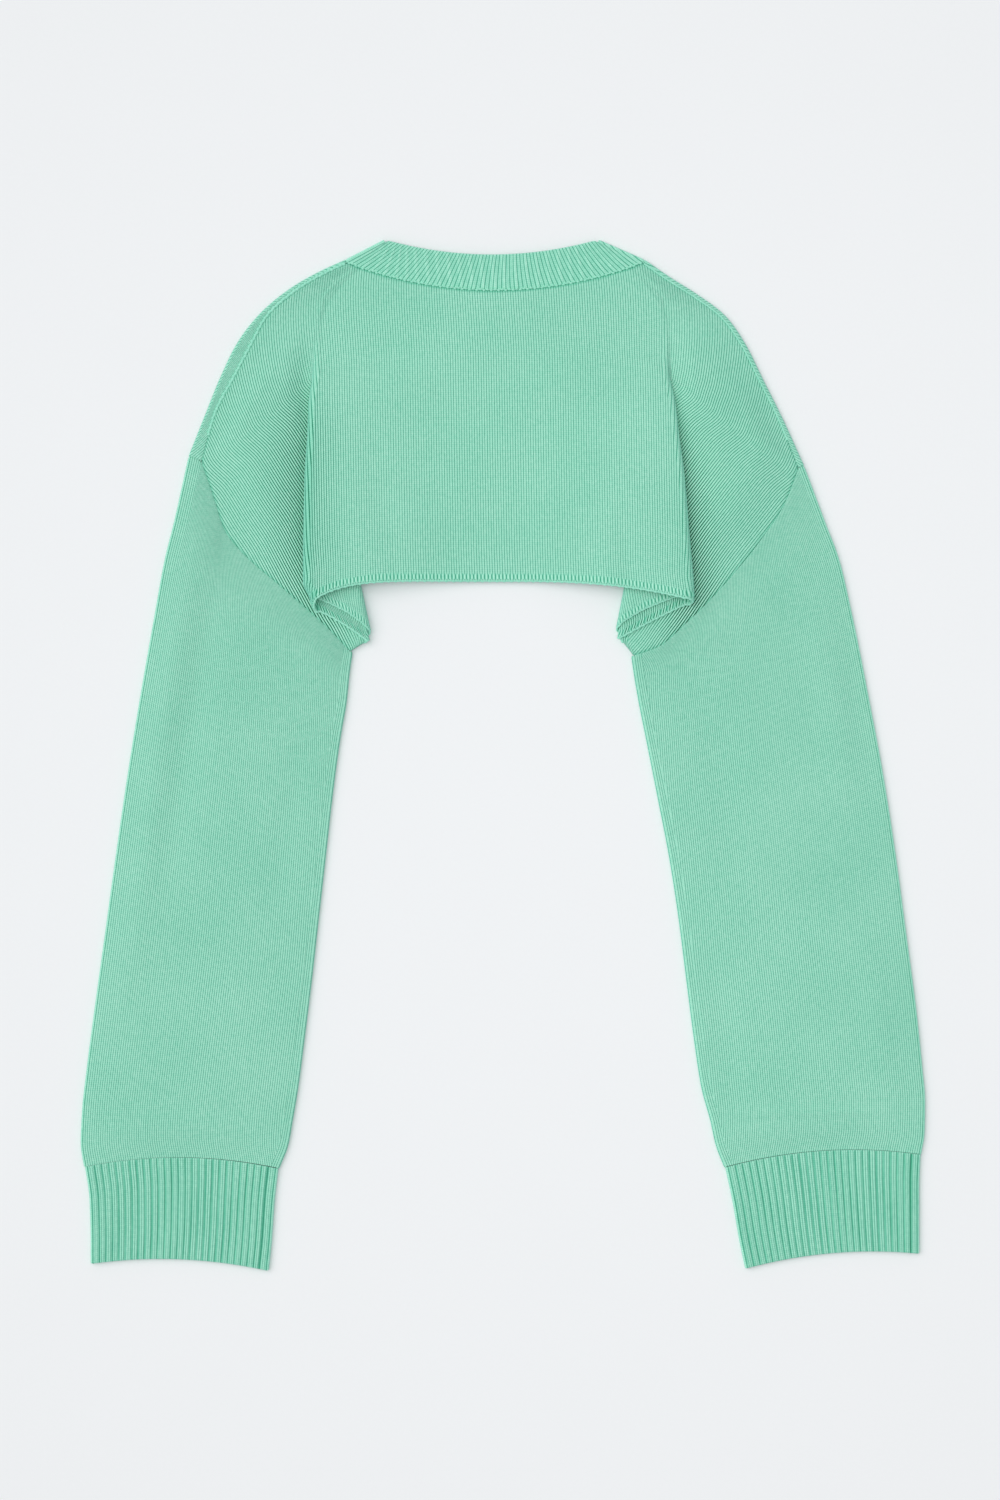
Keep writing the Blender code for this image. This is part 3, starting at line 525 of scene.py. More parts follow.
def halfBody(side):
    # The middle between the two layers, and the way the back faces, as rows by columns from the side
    # to just short of the middle. A row is straight to the hidden fold, an arc round it, straight
    # through the tuck, an arc back round the shown fold, level over the tuck, and then an eased slope.
    edge = shoulderEdge(side)
    count = len(body["hidden"])
    hidden, shown = pointOn(side["hiddenFold"], body["hidden"]), pointOn(side["shownFold"], body["shown"])
    turn, radius = np.radians(body["turn"]), np.array(body["radius"], float)
    fuller = np.interp(np.arange(count), (0, body["fullerUpTo"]), (side["fuller"], 0))
    shownRadius = np.array(body["shownRadius"], float) + fuller
    middleX = side["sign"] * neck["x"] * np.arange(count) / body["last"]
    middleY = np.array(body["middle"], float)
    tip = body["tip"]
    hiddenIn = inward(hidden)
    shownIn = hiddenIn.copy()
    shownIn[:tip] = inward(shown[:tip + 1])[:tip]

    tuckStart = hidden + (radius * np.sin(turn))[:, None] * hiddenIn
    tuckStart = lying(tuckStart, base + radius * (1 - np.cos(turn)))
    tuckEnd = lying(shown + (shownRadius - pitch)[:, None] * shownIn, tuckStart[:, 2])
    faded = lying(np.cos(turn)[:, None] * hiddenIn, np.sin(turn))
    tuckEnd[tip:] = (tuckStart + body["fadedTuck"] * faded)[tip:]
    pivot = tuckEnd - shownRadius[:, None] * upright(shownIn, turn)
    top = pivot[:, 2] + shownRadius - base
    proud = (shownRadius - radius) * (1 - np.cos(turn))   # of the shown fold, over the layers in it

    up, down = np.array([0, 0, 1.0]), upright(hiddenIn, turn)
    sideFlat = edge[:, None] + sideShares[:, None] * (hidden - edge)[:, None]
    hiddenArc = arcRound(hiddenIn, foldShares * turn[:, None])
    shownArc = arcRound(shownIn, foldShares[::-1] * turn[:, None])
    places = [lying(sideFlat, base),
              lying(hidden, base + radius)[:, None] - radius[:, None, None] * hiddenArc,
              tuckStart[:, None] + tuckShares[:, None] * (tuckEnd - tuckStart)[:, None],
              pivot[:, None] + shownRadius[:, None, None] * shownArc]
    facings = [np.broadcast_to(up, places[0].shape), hiddenArc,
               np.broadcast_to(down[:, None], places[2].shape), shownArc]

    loop = np.interp(np.arange(count), (0, 1, 2, 3), side["loop"])[:, None]
    places[2][..., 1] -= loop * tuckShares**2
    places[3][..., 1] -= loop * np.cos(np.pi * foldShares)

    fold = pivot[:, :2]
    span = fold[:, 0] - middleX
    hiddenHere = np.interp(fold[:, 1], hidden[:, 1], hidden[:, 0])
    shelf = np.maximum(fold[:, 0] - hiddenHere + body["shelfSpare"], body["leastShelf"])
    slope = body["slopeShare"] * (span - shelf)
    rest = span - shelf - slope
    distances = np.concatenate([
        np.linspace(0, 1, body["shelfSteps"] + 1)[1:] * shelf[:, None],
        shelf[:, None] + np.linspace(0, 1, body["slopeSteps"] + 1)[1:] * slope[:, None],
        (shelf + slope)[:, None] + np.linspace(0, 1, body["middleSteps"] + 1)[1:-1] * rest[:, None]], axis=1)
    share = distances / span[:, None]
    bow = np.minimum(body["bow"], side["mostBow"])
    hemShares = np.array(body["hemShares"])
    bow[:len(hemShares)] += (side["hemBow"] - bow[0]) * hemShares
    rise = 1 - (1 - share) ** bow[:, None]
    x, start = fold[:, :1] - distances, fold[:, 1:] + loop
    y = start + (middleY[:, None] - start) * rise
    shelfHere, foldHere, topHere, proudHere = (
        np.interp(y, fold[:, 1], values) for values in (shelf, fold[:, 0], top, proud))
    topHere = topHere - proudHere * (1 - np.exp(-(distances / body["settle"]) ** body["settlePower"]))
    fall = ease((foldHere - x - shelfHere) / slope[:, None])
    places.append(lying(np.stack([x, y], axis=-1), base + topHere * (1 - fall)))
    facings.append(np.broadcast_to(up, places[-1].shape))

    mirror = np.array([side["sign"], 1, 1])
    return np.concatenate(places, axis=1) * mirror, np.concatenate(facings, axis=1) * mirror


def joinHalves(leftHalf, rightHalf, middle):
    return np.concatenate([leftHalf, middle[:, None], rightHalf[:, ::-1]], axis=1)


leftPlaces, leftFacings = halfBody(leftSide)
rightPlaces, rightFacings = halfBody(rightSide)
rowNumbers = np.arange(body["last"] + 1)
middlePlaces = lying(np.stack([neck["x"] * rowNumbers / body["last"], body["middle"]], axis=1), base)
coarsePlaces = joinHalves(leftPlaces, rightPlaces, middlePlaces)
coarseFacings = joinHalves(leftFacings, rightFacings, np.zeros_like(middlePlaces) + (0, 0, 1))
placeAcross = np.concatenate([columnPlace, [5.0], columnPlace[::-1]])
# 1 at the armhole, 0 from the hidden fold inwards: how much of the seam's corners a column keeps
cornered = np.clip(1 - placeAcross, 0, 1)[None, :, None]


def readBody(values, at):
    # rows of the body read smoothly at fractional rows, with the seam's corners kept near the armhole
    sharp = smoothRead(values, at, (body["underarm"], body["tip"]))
    return smoothRead(values, at) * (1 - cornered) + sharp * cornered


def panelStitches(points):
    # wales count along the cloth from the middle column, and courses up from the hem
    lengths = alongGrid(points, 1)
    wales = (lengths - lengths[:, [points.shape[1] // 2]]) / fabric["waleWidth"]
    stitches = np.stack([wales, alongGrid(points, 0) / fabric["courseHeight"]], axis=-1)
    return stitches, stitches


def pastFold(points, side, fold):
    # how far out along x the points lie past one of a side's two fold lines
    line = np.array(side[fold])
    return points[..., 0] * side["sign"] - np.interp(points[..., 1], line[:, 1], line[:, 0])


# by row, the distance that already counts at the shown fold; where past that fold the swell begins; and how
# wide it eases in past the hidden one
swell = {"rows": (0, 1.5, 3.5, 6, 8, 10, 12, 15), "starts": (0, 0, 0, 0, 3, 20, 40, 50), "clear": 4.1,
         "hiddenWidth": 18}


def sideRise(points, side, fine):
    # The back swells beside the armhole and falls into a valley along the shown fold: height
    # * (1 - exp(-distance from the fold / steepness)) * eased distances from the seam and the hidden fold
    values = side["swell"]
    height = np.interp(fine, swell["rows"], values["heights"])[:, None]
    start = np.interp(fine, swell["rows"], swell["starts"])[:, None]
    fromFold = np.maximum(pastFold(points, side, "shownFold") - swell["clear"] + start, 0)
    fromHidden = np.maximum(pastFold(points, side, "hiddenFold"), 0)
    lengths = alongGrid(points, 1)
    fromSeam = np.abs(lengths - lengths[:, [0 if side["sign"] < 0 else -1]])
    onSide = (placeAcross < 1) & (points[..., 0] * side["sign"] > 0)
    rise = height * (1 - np.exp(-fromFold / values["steepness"])) * ease(fromSeam / values["seamWidth"])
    return onSide * rise * ease(fromHidden / swell["hiddenWidth"])


backCreases = [
    # x0, y0, x1, y1, width, height
    (-6, 112, -4, 350, 48, 1.3),
    (-101, 236, -76, 118, 9, -1.5),
    (-122, 250, -98, 150, 7, -0.5),
    (84, 176, 90, 112, 8, -1.3),
    (-60, 330, 50, 322, 14, 0.5),
    (34, 130, 28, 215, 16, 0.5),
    (50, 110, 44, 330, 38, 1.2),
    (-111, 238, -87, 122, 9, 1.1),
    (76, 178, 81, 112, 9, 1),
    (-38, 126, -52, 200, 13, -0.6),
]


parting = {
    "tuck": 0.45, "tuckFades": (9.5, 3),   # in the tuck, and the row where it ends and how many it fades over
    "evenFades": (12.5, 5), "hiddenWidth": 26,
    "foldClear": 3, "leastWidth": 0.45, "insideWidth": 20,   # the valley's width shrinks to that share of it
    # where the painted shade inside the shown fold starts, and how wide it is
    "edgeClear": 2, "edgeWidth": 4,
}


def openedWalesAndShade(points, fine):
    # The wales part where the cloth is drawn to the side, most of all in the valley beside the shown fold,
    # and there painted shade darkens them, also in the tuck and on the fold: bells across that fold, eased
    # away upwards.
    # The second value is painted shade just inside the fold.
    tuckFade, evenFade = (ease((parting[fade][0] - fine) / parting[fade][1])[:, None]
                          for fade in ("tuckFades", "evenFades"))
    openedAndShaded = ((placeAcross > 2) & (placeAcross < 3)) * parting["tuck"] * tuckFade
    edge = np.zeros_like(openedAndShaded)
    for side, _, _ in bothSides:
        values = side["valley"]
        isOut = points[..., 0] * side["sign"] > 0
        fromFold = pastFold(points, side, "shownFold") - parting["foldClear"]
        fromHidden = np.maximum(pastFold(points, side, "hiddenFold"), 0)
        deep = ease((values["top"] - points[..., 1]) / (values["top"] - values["full"]))
        width = values["width"] * (parting["leastWidth"] + (1 - parting["leastWidth"]) * deep)
        valley = bell(fromFold, values["deepest"] * deep, width)
        even = values["even"] * evenFade * ease(fromHidden / parting["hiddenWidth"])
        inside = bell(fromFold, values["inside"] * deep, parting["insideWidth"])
        openedAndShaded += isOut * np.where(placeAcross < 1, valley + even, np.where(placeAcross >= 3, inside, 0))
        beside = np.minimum(fromFold + parting["edgeClear"], 0)
        edge += isOut * (placeAcross > 2) * bell(beside, values["edge"] * deep, parting["edgeWidth"])
    return openedAndShaded, edge


faded = {"row": 12.6, "over": 1.2, "places": (0.6, 4.0)}   # where the folds are gone, and the columns between


def spreadColumns(points, fine):
    # where the folds have faded, the columns between the sides and the slope are drawn evenly apart along a
    # chord, by an eased share of the row number
    share = ease((fine - faded["row"]) / faded["over"])[:, None, None]
    first, last = np.searchsorted(placeAcross[:points.shape[1] // 2], faded["places"])
    even = np.linspace(0, 1, last - first + 1)[None, :, None]
    for one, other in ((first, last), (-1 - last, -1 - first)):
        columns = np.arange(one, other + 1)
        chord = points[:, [one]] + even * (points[:, [other]] - points[:, [one]])
        points[:, columns] += share * (chord - points[:, columns])
    return points


# millimetres up from the hem's edge: where the bars and the swell start, over how much, end, over how much
hem = {"bars": (0.9, 0.5, 5.4, 0.8), "swells": (0, 1.2, 6.2, 1.4), "swell": 0.25,
       "rimAt": 0.9, "rim": (0.3, 0.6), "frontShare": 0.6}
# depth and width of the groove beside a seam, and of the painted shade along it
seamGrooves = {"side": (0.5, 1.4), "neck": (0.8, 1.5), "rolled": (0.3, 1.0), "sideShade": (0.42, 1.1),
               "neckShade": (1.0, 1.5)}


def hemFinish(fromHem):
    # a band of upright bars, and how proud it and the rounded rim at its edge stand
    proud = hem["swell"] * band(fromHem, *hem["swells"]) + bell(fromHem - hem["rimAt"], *hem["rim"])
    return band(fromHem, *hem["bars"]), proud


def backPanel():
    # the rows of the body, with its shoulders set in from the rolled front, lofted in the middle and swollen
    # beside the armholes; the faces lie half a wall to either side of the middle
    places = coarsePlaces.copy()
    tip = body["tip"]
    for side, first, step in bothSides:
        mirror = np.array([side["sign"], 1])
        columns = first + step * np.arange(len(sideShares))
        fold = places[:, first + step * len(sideShares), :2] * mirror
        edge = shoulderEdge(side)
        along, width = wrapEnds(side, edge, fold)
        seam = edge[tip:] + along * (width + fabric["rolledGap"])
        flat = seam[:, None] + sideShares[:, None] * (fold[tip:] - seam)[:, None]
        places[tip:, columns, :2] = flat * mirror
    fine = withLips(np.linspace(0, body["last"], body["fineRows"]), 0, body["last"])
    at = np.repeat(fine[:, None], places.shape[1], axis=1)
    points, facings = spreadColumns(readBody(places, at), fine), unit(readBody(coarseFacings, at))
    fromMiddle = np.abs(np.arange(points.shape[1]) - points.shape[1] // 2)
    middleShare = ease(1 - (fromMiddle - body["middleSteps"]) / body["slopeSteps"])
    loft = body["backLoft"] * np.sin(np.pi * fine / body["last"])[:, None] * middleShare
    loft += softCreases(points, backCreases) * np.clip(placeAcross - 3, 0, 1) ** 2
    for side, _, _ in bothSides:
        loft += sideRise(points, side, fine)
    fromHem, lengths = alongGrid(points, 0), alongGrid(points, 1)
    fromSides = np.minimum(lengths, lengths[:, -1:] - lengths)
    fromNeck = fromHem[-1:] - fromHem
    thick = lip(fromHem)
    bars, proud = hemFinish(fromHem)
    proud -= bell(fromSides, *seamGrooves["side"]) + bell(fromNeck, *seamGrooves["neck"])
    openedAndShaded, edge = openedWalesAndShade(points, fine)
    # painted shade just inside the shown fold and along the seams' grooves
    paintedShade = edge + bell(fromSides, *seamGrooves["sideShade"]) + bell(fromNeck, *seamGrooves["neckShade"])
    middle = points + facings * (midway + loft)[..., None]
    far = middle + facings * (thick + proud)[..., None]
    near = middle - facings * thick[..., None]
    piece = knitWall("backKnit", far, near, panelStitches(points), mintKnit,
                     {"bars": bars, "openedAndShaded": openedAndShaded, "paintedShade": np.clip(paintedShade, 0, 1)}, weldShare(fromHem))
    return piece, middle, facings, fine


def frontNeck(x):
    # level at the shoulder, and down by the drop as one minus a power of the distance out
    share = np.minimum(np.abs(x - neck["x"]) / neck["halfWidth"], 1)
    return neck["y"] - neck["frontDrop"] * (1 - share ** neck["frontSquareness"])


# by a column's place, how many rows the front's hem lies above the back's, and by which row that has faded
frontHem = {"places": (0, .35, .7, 1, 1.25, 1.5, 1.75, 2, 2.33, 2.67, 3),
            "lifts": (0, .2, .4, .5, .7, .9, 1.1, 1.3, 1.35, 1.2, .9), "fadesBy": 3,
            "readsPerRow": 150, "mostGather": 6, "gather": 0.9}


def frontRows(numbers):
    # how far up the body's rows a column of the front has come: the row's number and the hem's lift, less
    # what its neck cuts short * the share up to a power, which gathers the rows towards the neck
    last = body["last"]
    fine = np.linspace(0, last, frontHem["readsPerRow"] * last + 1)
    read = readBody(coarsePlaces, np.repeat(fine[:, None], len(placeAcross), axis=1))
    over = read[..., 1] > frontNeck(read[..., 0])
    over[: len(fine) // 3] = False     # the neck lies in the upper rows
    top = np.where(over.any(axis=0), fine[over.argmax(axis=0)], last)
    top[[0, -1]] = last
    short = np.maximum(last - top, 1e-6)
    gather = np.minimum(frontHem["mostGather"], frontHem["gather"] * last / short)
    lift = np.interp(placeAcross, frontHem["places"], frontHem["lifts"])
    numbers = numbers[:, None]
    lift = lift * np.clip(1 - numbers / frontHem["fadesBy"], 0, 1)
    return numbers + lift - short * (numbers / last) ** gather


def frontPanel():
    # The body's layers turned over, half a wall under the middle of the two; above the shoulder tips a strip
    # turns up round the edge and lies on the back.
    last, tip = body["last"], body["tip"]
    fine = withLips(np.linspace(0, last, body["fineRows"]), 0, tip, last)
    at = frontRows(fine)
    points, facings = readBody(coarsePlaces, at), unit(readBody(coarseFacings, at))
    middles, normals = [points - facings * midway], [-facings]
    shoulder = fine >= tip
    rollAngles = np.linspace(0, np.pi, body["foldSteps"])[1:]
    flatShares = withLips(np.linspace(0, 1, body["rollSteps"]), 1, reach=body["rollLip"])[1:]
    for side, first, step in bothSides:
        edge = shoulderEdge(side)
        fold = coarsePlaces[:, first + step * len(sideShares), :2] * (side["sign"], 1)
        across = inward(edge)
        across[tip:] = inward(edge[tip:])
        along, width = wrapEnds(side, edge, fold)
        end = np.zeros_like(edge)
        end[tip:] = along * width
        edge, across, end = (
            smoothLine(values, fine, (body["underarm"], tip)) for values in (edge, across, end))
        roll = arcRound(unit(across), np.pi - rollAngles)
        strip = lying(edge, base)[:, None] + midway * roll
        flat = strip[:, -1:] + flatShares[:, None] * lying(end, 0)[:, None]
        strip = np.concatenate([strip, flat], axis=1) * (side["sign"], 1, 1)
        turned = np.concatenate([roll, np.repeat(roll[:, -1:], len(flatShares), 1)], axis=1)
        turned = turned * (side["sign"], 1, 1)
        where = 0 if step == 1 else len(middles)
        middles.insert(where, strip[:, ::-step])
        normals.insert(where, turned[:, ::-step])
    rolled = middles[0].shape[1]
    middle, normal = np.concatenate(middles, axis=1), unit(np.concatenate(normals, axis=1))
    columns = middle.shape[1]
    bodyColumn = (np.arange(columns) >= rolled) & (np.arange(columns) < columns - rolled)
    kept = (bodyColumn[:-1] & bodyColumn[1:])[None] | shoulder[:-1, None]
    # free edges: the hem, the armhole below the tip, the foot of each rolled strip, its end, and the neck
    across, along = alongGrid(middle, 1), alongGrid(middle, 0)
    firstKept = np.where(shoulder, 0, rolled)
    lastKept = columns - 1 - firstKept
    rows = np.arange(len(fine))
    firstAcross, lastAcross = (across[rows, ends][:, None] for ends in (firstKept, lastKept))
    fromSides = np.minimum(across - firstAcross, lastAcross - across)
    fromHem = np.where(bodyColumn, along, np.inf)
    thick = lip(fromHem)
    bars, proud = hemFinish(fromHem)
    sunk = bell(fromSides, *seamGrooves["rolled"]) * ~bodyColumn
    far = middle + normal * thick[..., None] - normal * sunk[..., None]
    near = middle - normal * (thick + proud * hem["frontShare"])[..., None]
    piece = knitWall("frontKnit", far, near, panelStitches(middle), mintKnit, {"bars": bars},
                     weldShare(fromHem), kept=kept)
    return piece, middle[:, bodyColumn], normal[:, bodyColumn]


backKnit, backMiddle, backFacings, backRows = backPanel()
frontKnit, frontMiddle, frontFacings = frontPanel()


# Sleeves: a section's outer x, y and inner x, y, and how far it bows up towards the neck

leftSleeve = {
    "side": leftSide,
    "sections": [(236.5, 168, 110.5, 57, 0), (243.4, 140, 112.3, 39.2, 0), (251.3, 96.8, 117.5, 8, 0),
                 (261.4, 39.2, 122.8, -32, 0), (270.3, -16, 127.5, -74, 0), (278.5, -72, 132.5, -118, 0),
                 (286.5, -130, 137.2, -160, 0.5), (294, -184, 142.5, -203, 1.5),
                 (299.5, -226, 147.2, -239, 3), (302.8, -256, 151.2, -263.2, 4.5),
                 (303.8, -279, 154.5, -281, 6), (301.5, -296.3, 161, -297.7, 7)],
    "creases": [(-218, 176, -260, -60, 12, 3.0), (-246, 0, -276, -190, 12, 2.1),
                (-202, 160, -249, -120, 13, -2.4), (-142, 20, -166, -120, 12, -1.3),
                (-296, -236, -176, -262, 8, -0.8)],
}
rightSleeve = {
    "side": rightSide,
    "sections": [(231.5, 168, 94.5, 55, 0), (241.9, 140, 97.2, 39.2, 0), (252, 96.8, 103.4, 8, 0),
                 (263.5, 39.2, 111.3, -32, 0), (273.8, -16, 119.4, -74, 0), (282.5, -72, 126.2, -118, 0),
                 (290.3, -130, 131.5, -160, 0.5), (297.4, -184, 137, -203, 1.5),
                 (301.4, -222, 142.5, -239, 3), (303.8, -250, 149, -263.2, 4.5),
                 (303.3, -272, 153, -281, 6), (300.8, -287.5, 159, -296.8, 7)],
    "creases": [(224, 130, 252, -40, 13, 2.1), (246, 120, 272, -40, 12, -2.1),
                (262, -120, 280, -262, 12, 1.4), (148, -130, 166, -270, 12, -1.8),
                (150, 40, 168, -90, 16, -1.1), (300, -256, 158, -258, 3, 0.9)],
}
leftCuff = {"side": leftSide, "deepGroove": 0.957,
            "sections": [(300.7, -296.3, 161.5, -297.7, 7), (297.4, -320.8, 164.2, -320.8, 6.5),
                         (296.6, -349.6, 166.3, -349.6, 6), (296.6, -366.1, 168.5, -371.2, 5.5)]}
rightCuff = {"side": rightSide, "deepGroove": 0.035,
             "sections": [(300.4, -287.5, 159.8, -296.8, 7), (299.5, -312, 165, -321, 6.5),
                          (299.5, -340, 170, -349.6, 6), (299.5, -358.9, 174.2, -369.7, 5.5)]}
sleeveShape = {
    "rows": 200, "lipReach": 0.03, "across": 64, "arc": 11, "seamSteps": 160, "cornerSteps": 12,
    "capFadesBy": 5,
    "loft": 3.0, "loftPower": 0.8, "creasePower": 0.5,   # across, the sine to these powers
    "loftStarts": 1.25, "loftEnds": 1.5,   # sections over which the loft comes and goes
    "edgeBand": 8.5,                       # width of the narrow band of wales beside the inner fold
    "seamDepth": 0.5,
}
cuffRib = {
    "ribs": 27, "phase": 0.06, "stops": (0, .10, .32, .54, .76, 1),
    "heights": (-.46, -.42, .38, .12, .38, -.46),
    "wales": 3, "rows": 44, "lipReach": 0.035, "pointsPerRib": 10, "arc": 9, "underShare": 0.8,
    "rise": (0.10, 0.09),                  # sections over which the ribs come at the seam and go at the end
    "uneven": ((0.22, 2.3, 0), (0.16, 1.1, 2.2)),   # how much, and how fast by rib and down the cuff
    "deepest": 0.45, "deepWidth": 0.006,   # of the one deeper groove, the width as a share of the cuff's
    # the most painted shade in a groove, and the sections over which it comes in
    "mostShade": 1.6, "shadeStarts": 0.02,
}
bandRib = {
    "ribs": 27, "phase": 0.27, "stops": (0, .16, .26, .36, .52, .66, .77, .88, 1),
    "heights": (-.16, -.08, -.16, -.08, -.16, .12, .20, .12, -.16),
    "wales": 3, "rows": 16, "lipReach": 0.035, "pointsPerRib": 12, "arc": 9, "underShare": 0.8,
    # shade is the painted shade in the band's grooves
    "rise": 0.07, "shade": 0.3, "seamDepth": 0.5,
}
foldRibs = 0.5        # ribs over which they level out at a fold
tubeGroove = 1.1      # width of the groove at a tube's seam


def outerSide(line):
    # across a line, turned to the side that is away from the middle
    across = inward(line)
    return across * np.where(across[:, :1] < 0, -1, 1)


def readTube(sections, shape, start=None):
    # The fold lines that a tube's sections turn round, one wall inside its outline, and its bow, all read
    # smoothly at the rows, whose numbers come last. Start is a line that stands before the first section.
    sections = np.array(sections)
    outerLine, innerLine, bow = sections[:, :2], sections[:, 2:4], sections[:, 4]
    outerLine, innerLine = outerLine - outer * outerSide(outerLine), innerLine + outer * outerSide(innerLine)
    if start is not None:
        outerLine, innerLine = np.vstack([start[0], outerLine]), np.vstack([start[-1], innerLine])
        bow = np.append(0, bow)
    last = len(bow) - 1
    number = withLips(np.linspace(0, last, shape["rows"]), 0, last, reach=shape["lipReach"])
    outerLine, innerLine = smoothLine(outerLine, number), smoothLine(innerLine, number)
    return outerLine, innerLine, np.interp(number, np.arange(last + 1), bow), number


def between(outerLine, innerLine, shares, bow):
    # straight across each section, and up by four times the bow times share times one less the share
    line = outerLine[:, None] + shares[None, :, None] * (innerLine - outerLine)[:, None]
    line[..., 1] += bow[:, None] * 4 * shares * (1 - shares)
    return line


def ribAcross(rib):
    # places across a flat tube as shares of its width, which rib they are on, its lift there, eased from
    # height to height between the stops of one rib, and how much of that the folds leave
    shares = np.linspace(0, 1, rib["ribs"] * rib["pointsPerRib"] + 1)
    number = shares * rib["ribs"] + rib["phase"]
    phase = number % 1
    stops, heights = np.array(rib["stops"]), np.array(rib["heights"])
    low = np.clip(np.searchsorted(stops, phase, side="right") - 1, 0, len(stops) - 2)
    share = ease((phase - stops[low]) / (stops[low + 1] - stops[low]))
    lift = heights[low] + share * (heights[low + 1] - heights[low])
    return shares, np.floor(number), lift, ease(np.minimum(shares, 1 - shares) * rib["ribs"] / foldRibs)


def grooveShade(lifted, rib):
    # painted shade: 1 at the bottom of a rib's groove, 0 at its top, as the square of the share down
    low, high = min(rib["heights"]), max(rib["heights"])
    return np.clip((high - lifted) / (high - low), 0, 1) ** 2


def tube(name, over, under, shape, stitches, material, raised=0, lifted=0, sunk=0, paintedShade=0, sign=1,
         freeEnd=False, seamDepth=0):
    # A flattened tube: along the upper line from the outer fold to the inner one, round it, back along
    # the lower line and round the outer fold. raised moves the upper layer, lifted and sunk its faces only.
    # the last values are painted shade, the same on both faces
    angles = np.linspace(0, np.pi, shape["arc"])[1:-1]
    flat, start = over.shape[:2], over.shape[1] + len(angles) // 2   # the ring opens at the inner fold's seam

    def layers(above, atInner, below, atOuter):
        return np.roll(np.concatenate([above, atInner, below[:, ::-1], atOuter], axis=1), -start, axis=1)

    def onFaces(above, below):
        # values on the two layers, and nothing round the folds
        nothing = np.zeros((flat[0], len(angles)))
        return layers(np.broadcast_to(above, flat), nothing, np.broadcast_to(below, flat), nothing)

    innerArc = arcRound(outerSide(over[:, -1]), angles)
    outerArc = arcRound(-outerSide(over[:, 0]), angles[::-1])
    innerFold, outerFold = (lying(over[:, column], base)[:, None] for column in (-1, 0))
    middle = layers(lying(over, base + midway + raised), innerFold + midway * innerArc,
                    lying(under, base - midway), outerFold + midway * outerArc)
    up, down = (np.zeros((*flat, 3)) + (0, 0, z) for z in (1, -1))
    normal = layers(up, innerArc, down, outerArc)
    along = alongGrid(middle, 0)
    toEnd = along[-1:] - along if freeEnd else np.full(along.shape, fabric["freeLip"])
    thick = lip(toEnd)
    relief = onFaces(lifted, -sunk) - bell(along, seamDepth, tubeGroove)
    mirror = np.array([sign, 1, 1])
    far = (middle + normal * (thick + relief)[..., None]) * mirror
    near = (middle - normal * thick[..., None]) * mirror
    return knitWall(name, far, near, stitches(middle), material, {"paintedShade": onFaces(paintedShade, paintedShade)},
                    weldShare(toEnd), ring=True)


def ringLength(middle):
    # running length round a ring, and the whole of it
    closed = np.concatenate([middle, middle[:, :1]], axis=1)
    lengths = alongGrid(closed, 1)
    return lengths[:, :-1], lengths[:, -1:]


def makeSleeve(name, values):
    # Its two layers start on caps that follow the armhole, the upper one from the corner of the rolled front,
    # and ease into straight sections. Across, the upper layer rises by a sine to a power, with creases on it.
    side, shape = values["side"], sleeveShape
    edge = shoulderEdge(side)
    tip, underarm = body["tip"], body["underarm"]
    caps = []
    for last in (edge[tip] + side["wrap"][0] * tipWay, edge[tip]):
        number = np.linspace(0, tip - underarm, shape["seamSteps"])
        seam = smoothLine(np.vstack([edge[underarm:tip], last]), number)[::-1]
        corner = edge[tip] + (seam[0] - edge[tip]) * np.linspace(0, 1, shape["cornerSteps"])[:-1, None]
        line = evenly(np.vstack([corner, seam]), shape["across"])
        line = line + fabric["seamGap"] * inward(line)
        line[0] = edge[tip] + fabric["seamGap"] * unit(edge[tip] - edge[tip + 1])
        caps.append(line)
    outerLine, innerLine, bow, number = readTube(values["sections"], shape, start=caps[0])
    fade = (1 - np.minimum(number / shape["capFadesBy"], 1)) ** 2
    shares = np.linspace(0, 1, shape["across"])
    over, under = (
        between(outerLine, innerLine, shares, bow)
        + fade[:, None, None] * (cap - (cap[0] + shares[:, None] * (cap[-1] - cap[0]))) for cap in caps)
    comes = np.clip(number / shape["loftStarts"], 0, 1)
    goes = np.clip((number[-1] - number) / shape["loftEnds"], 0, 1)
    arch = np.sin(np.pi * shares)
    creases = softCreases(over * (side["sign"], 1), values["creases"])
    raised = shape["loft"] * arch ** shape["loftPower"] * ease(comes * goes)[:, None]
    raised = np.maximum(raised + creases * arch ** shape["creasePower"], 0)

    def stitches(middle):
        # wales run beside the outer fold, and in a narrow band beside the inner fold
        columns = middle.shape[1]
        outerAt = columns // 2
        lengths, whole = ringLength(middle)
        fromOuter = np.abs(lengths - lengths[:, [outerAt]])
        fromInner = np.minimum(lengths, whole - lengths)
        inBand = np.median(fromInner, axis=0) < shape["edgeBand"]
        along = np.repeat(alongGrid(middle, 0)[:, [outerAt]], columns, axis=1) / fabric["courseHeight"]
        wide = np.stack([fromOuter / fabric["sleeveWale"], along], axis=-1)
        narrow = np.stack([fromInner / fabric["sleeveWale"] + 0.5, along], axis=-1)
        # a quad takes the band's stitches when both its columns lie in it
        return [np.where((inBand & np.roll(inBand, step))[:, None], narrow, wide) for step in (-1, 1)]

    return tube(name, over, under, shape, stitches, mintKnit, raised=raised, sign=side["sign"],
                seamDepth=shape["seamDepth"])


def ribStitches(rib):
    # wales follow the ribs round the tube, and courses its length
    def stitches(middle):
        lengths, whole = ringLength(middle)
        around = lengths / whole * 2 * rib["ribs"] * rib["wales"]
        first = np.stack([around, alongGrid(middle, 0) / fabric["courseHeight"]], axis=-1)
        after = first.copy()
        after[:, 0, 0] = 2 * rib["ribs"] * rib["wales"]
        return first, after
    return stitches


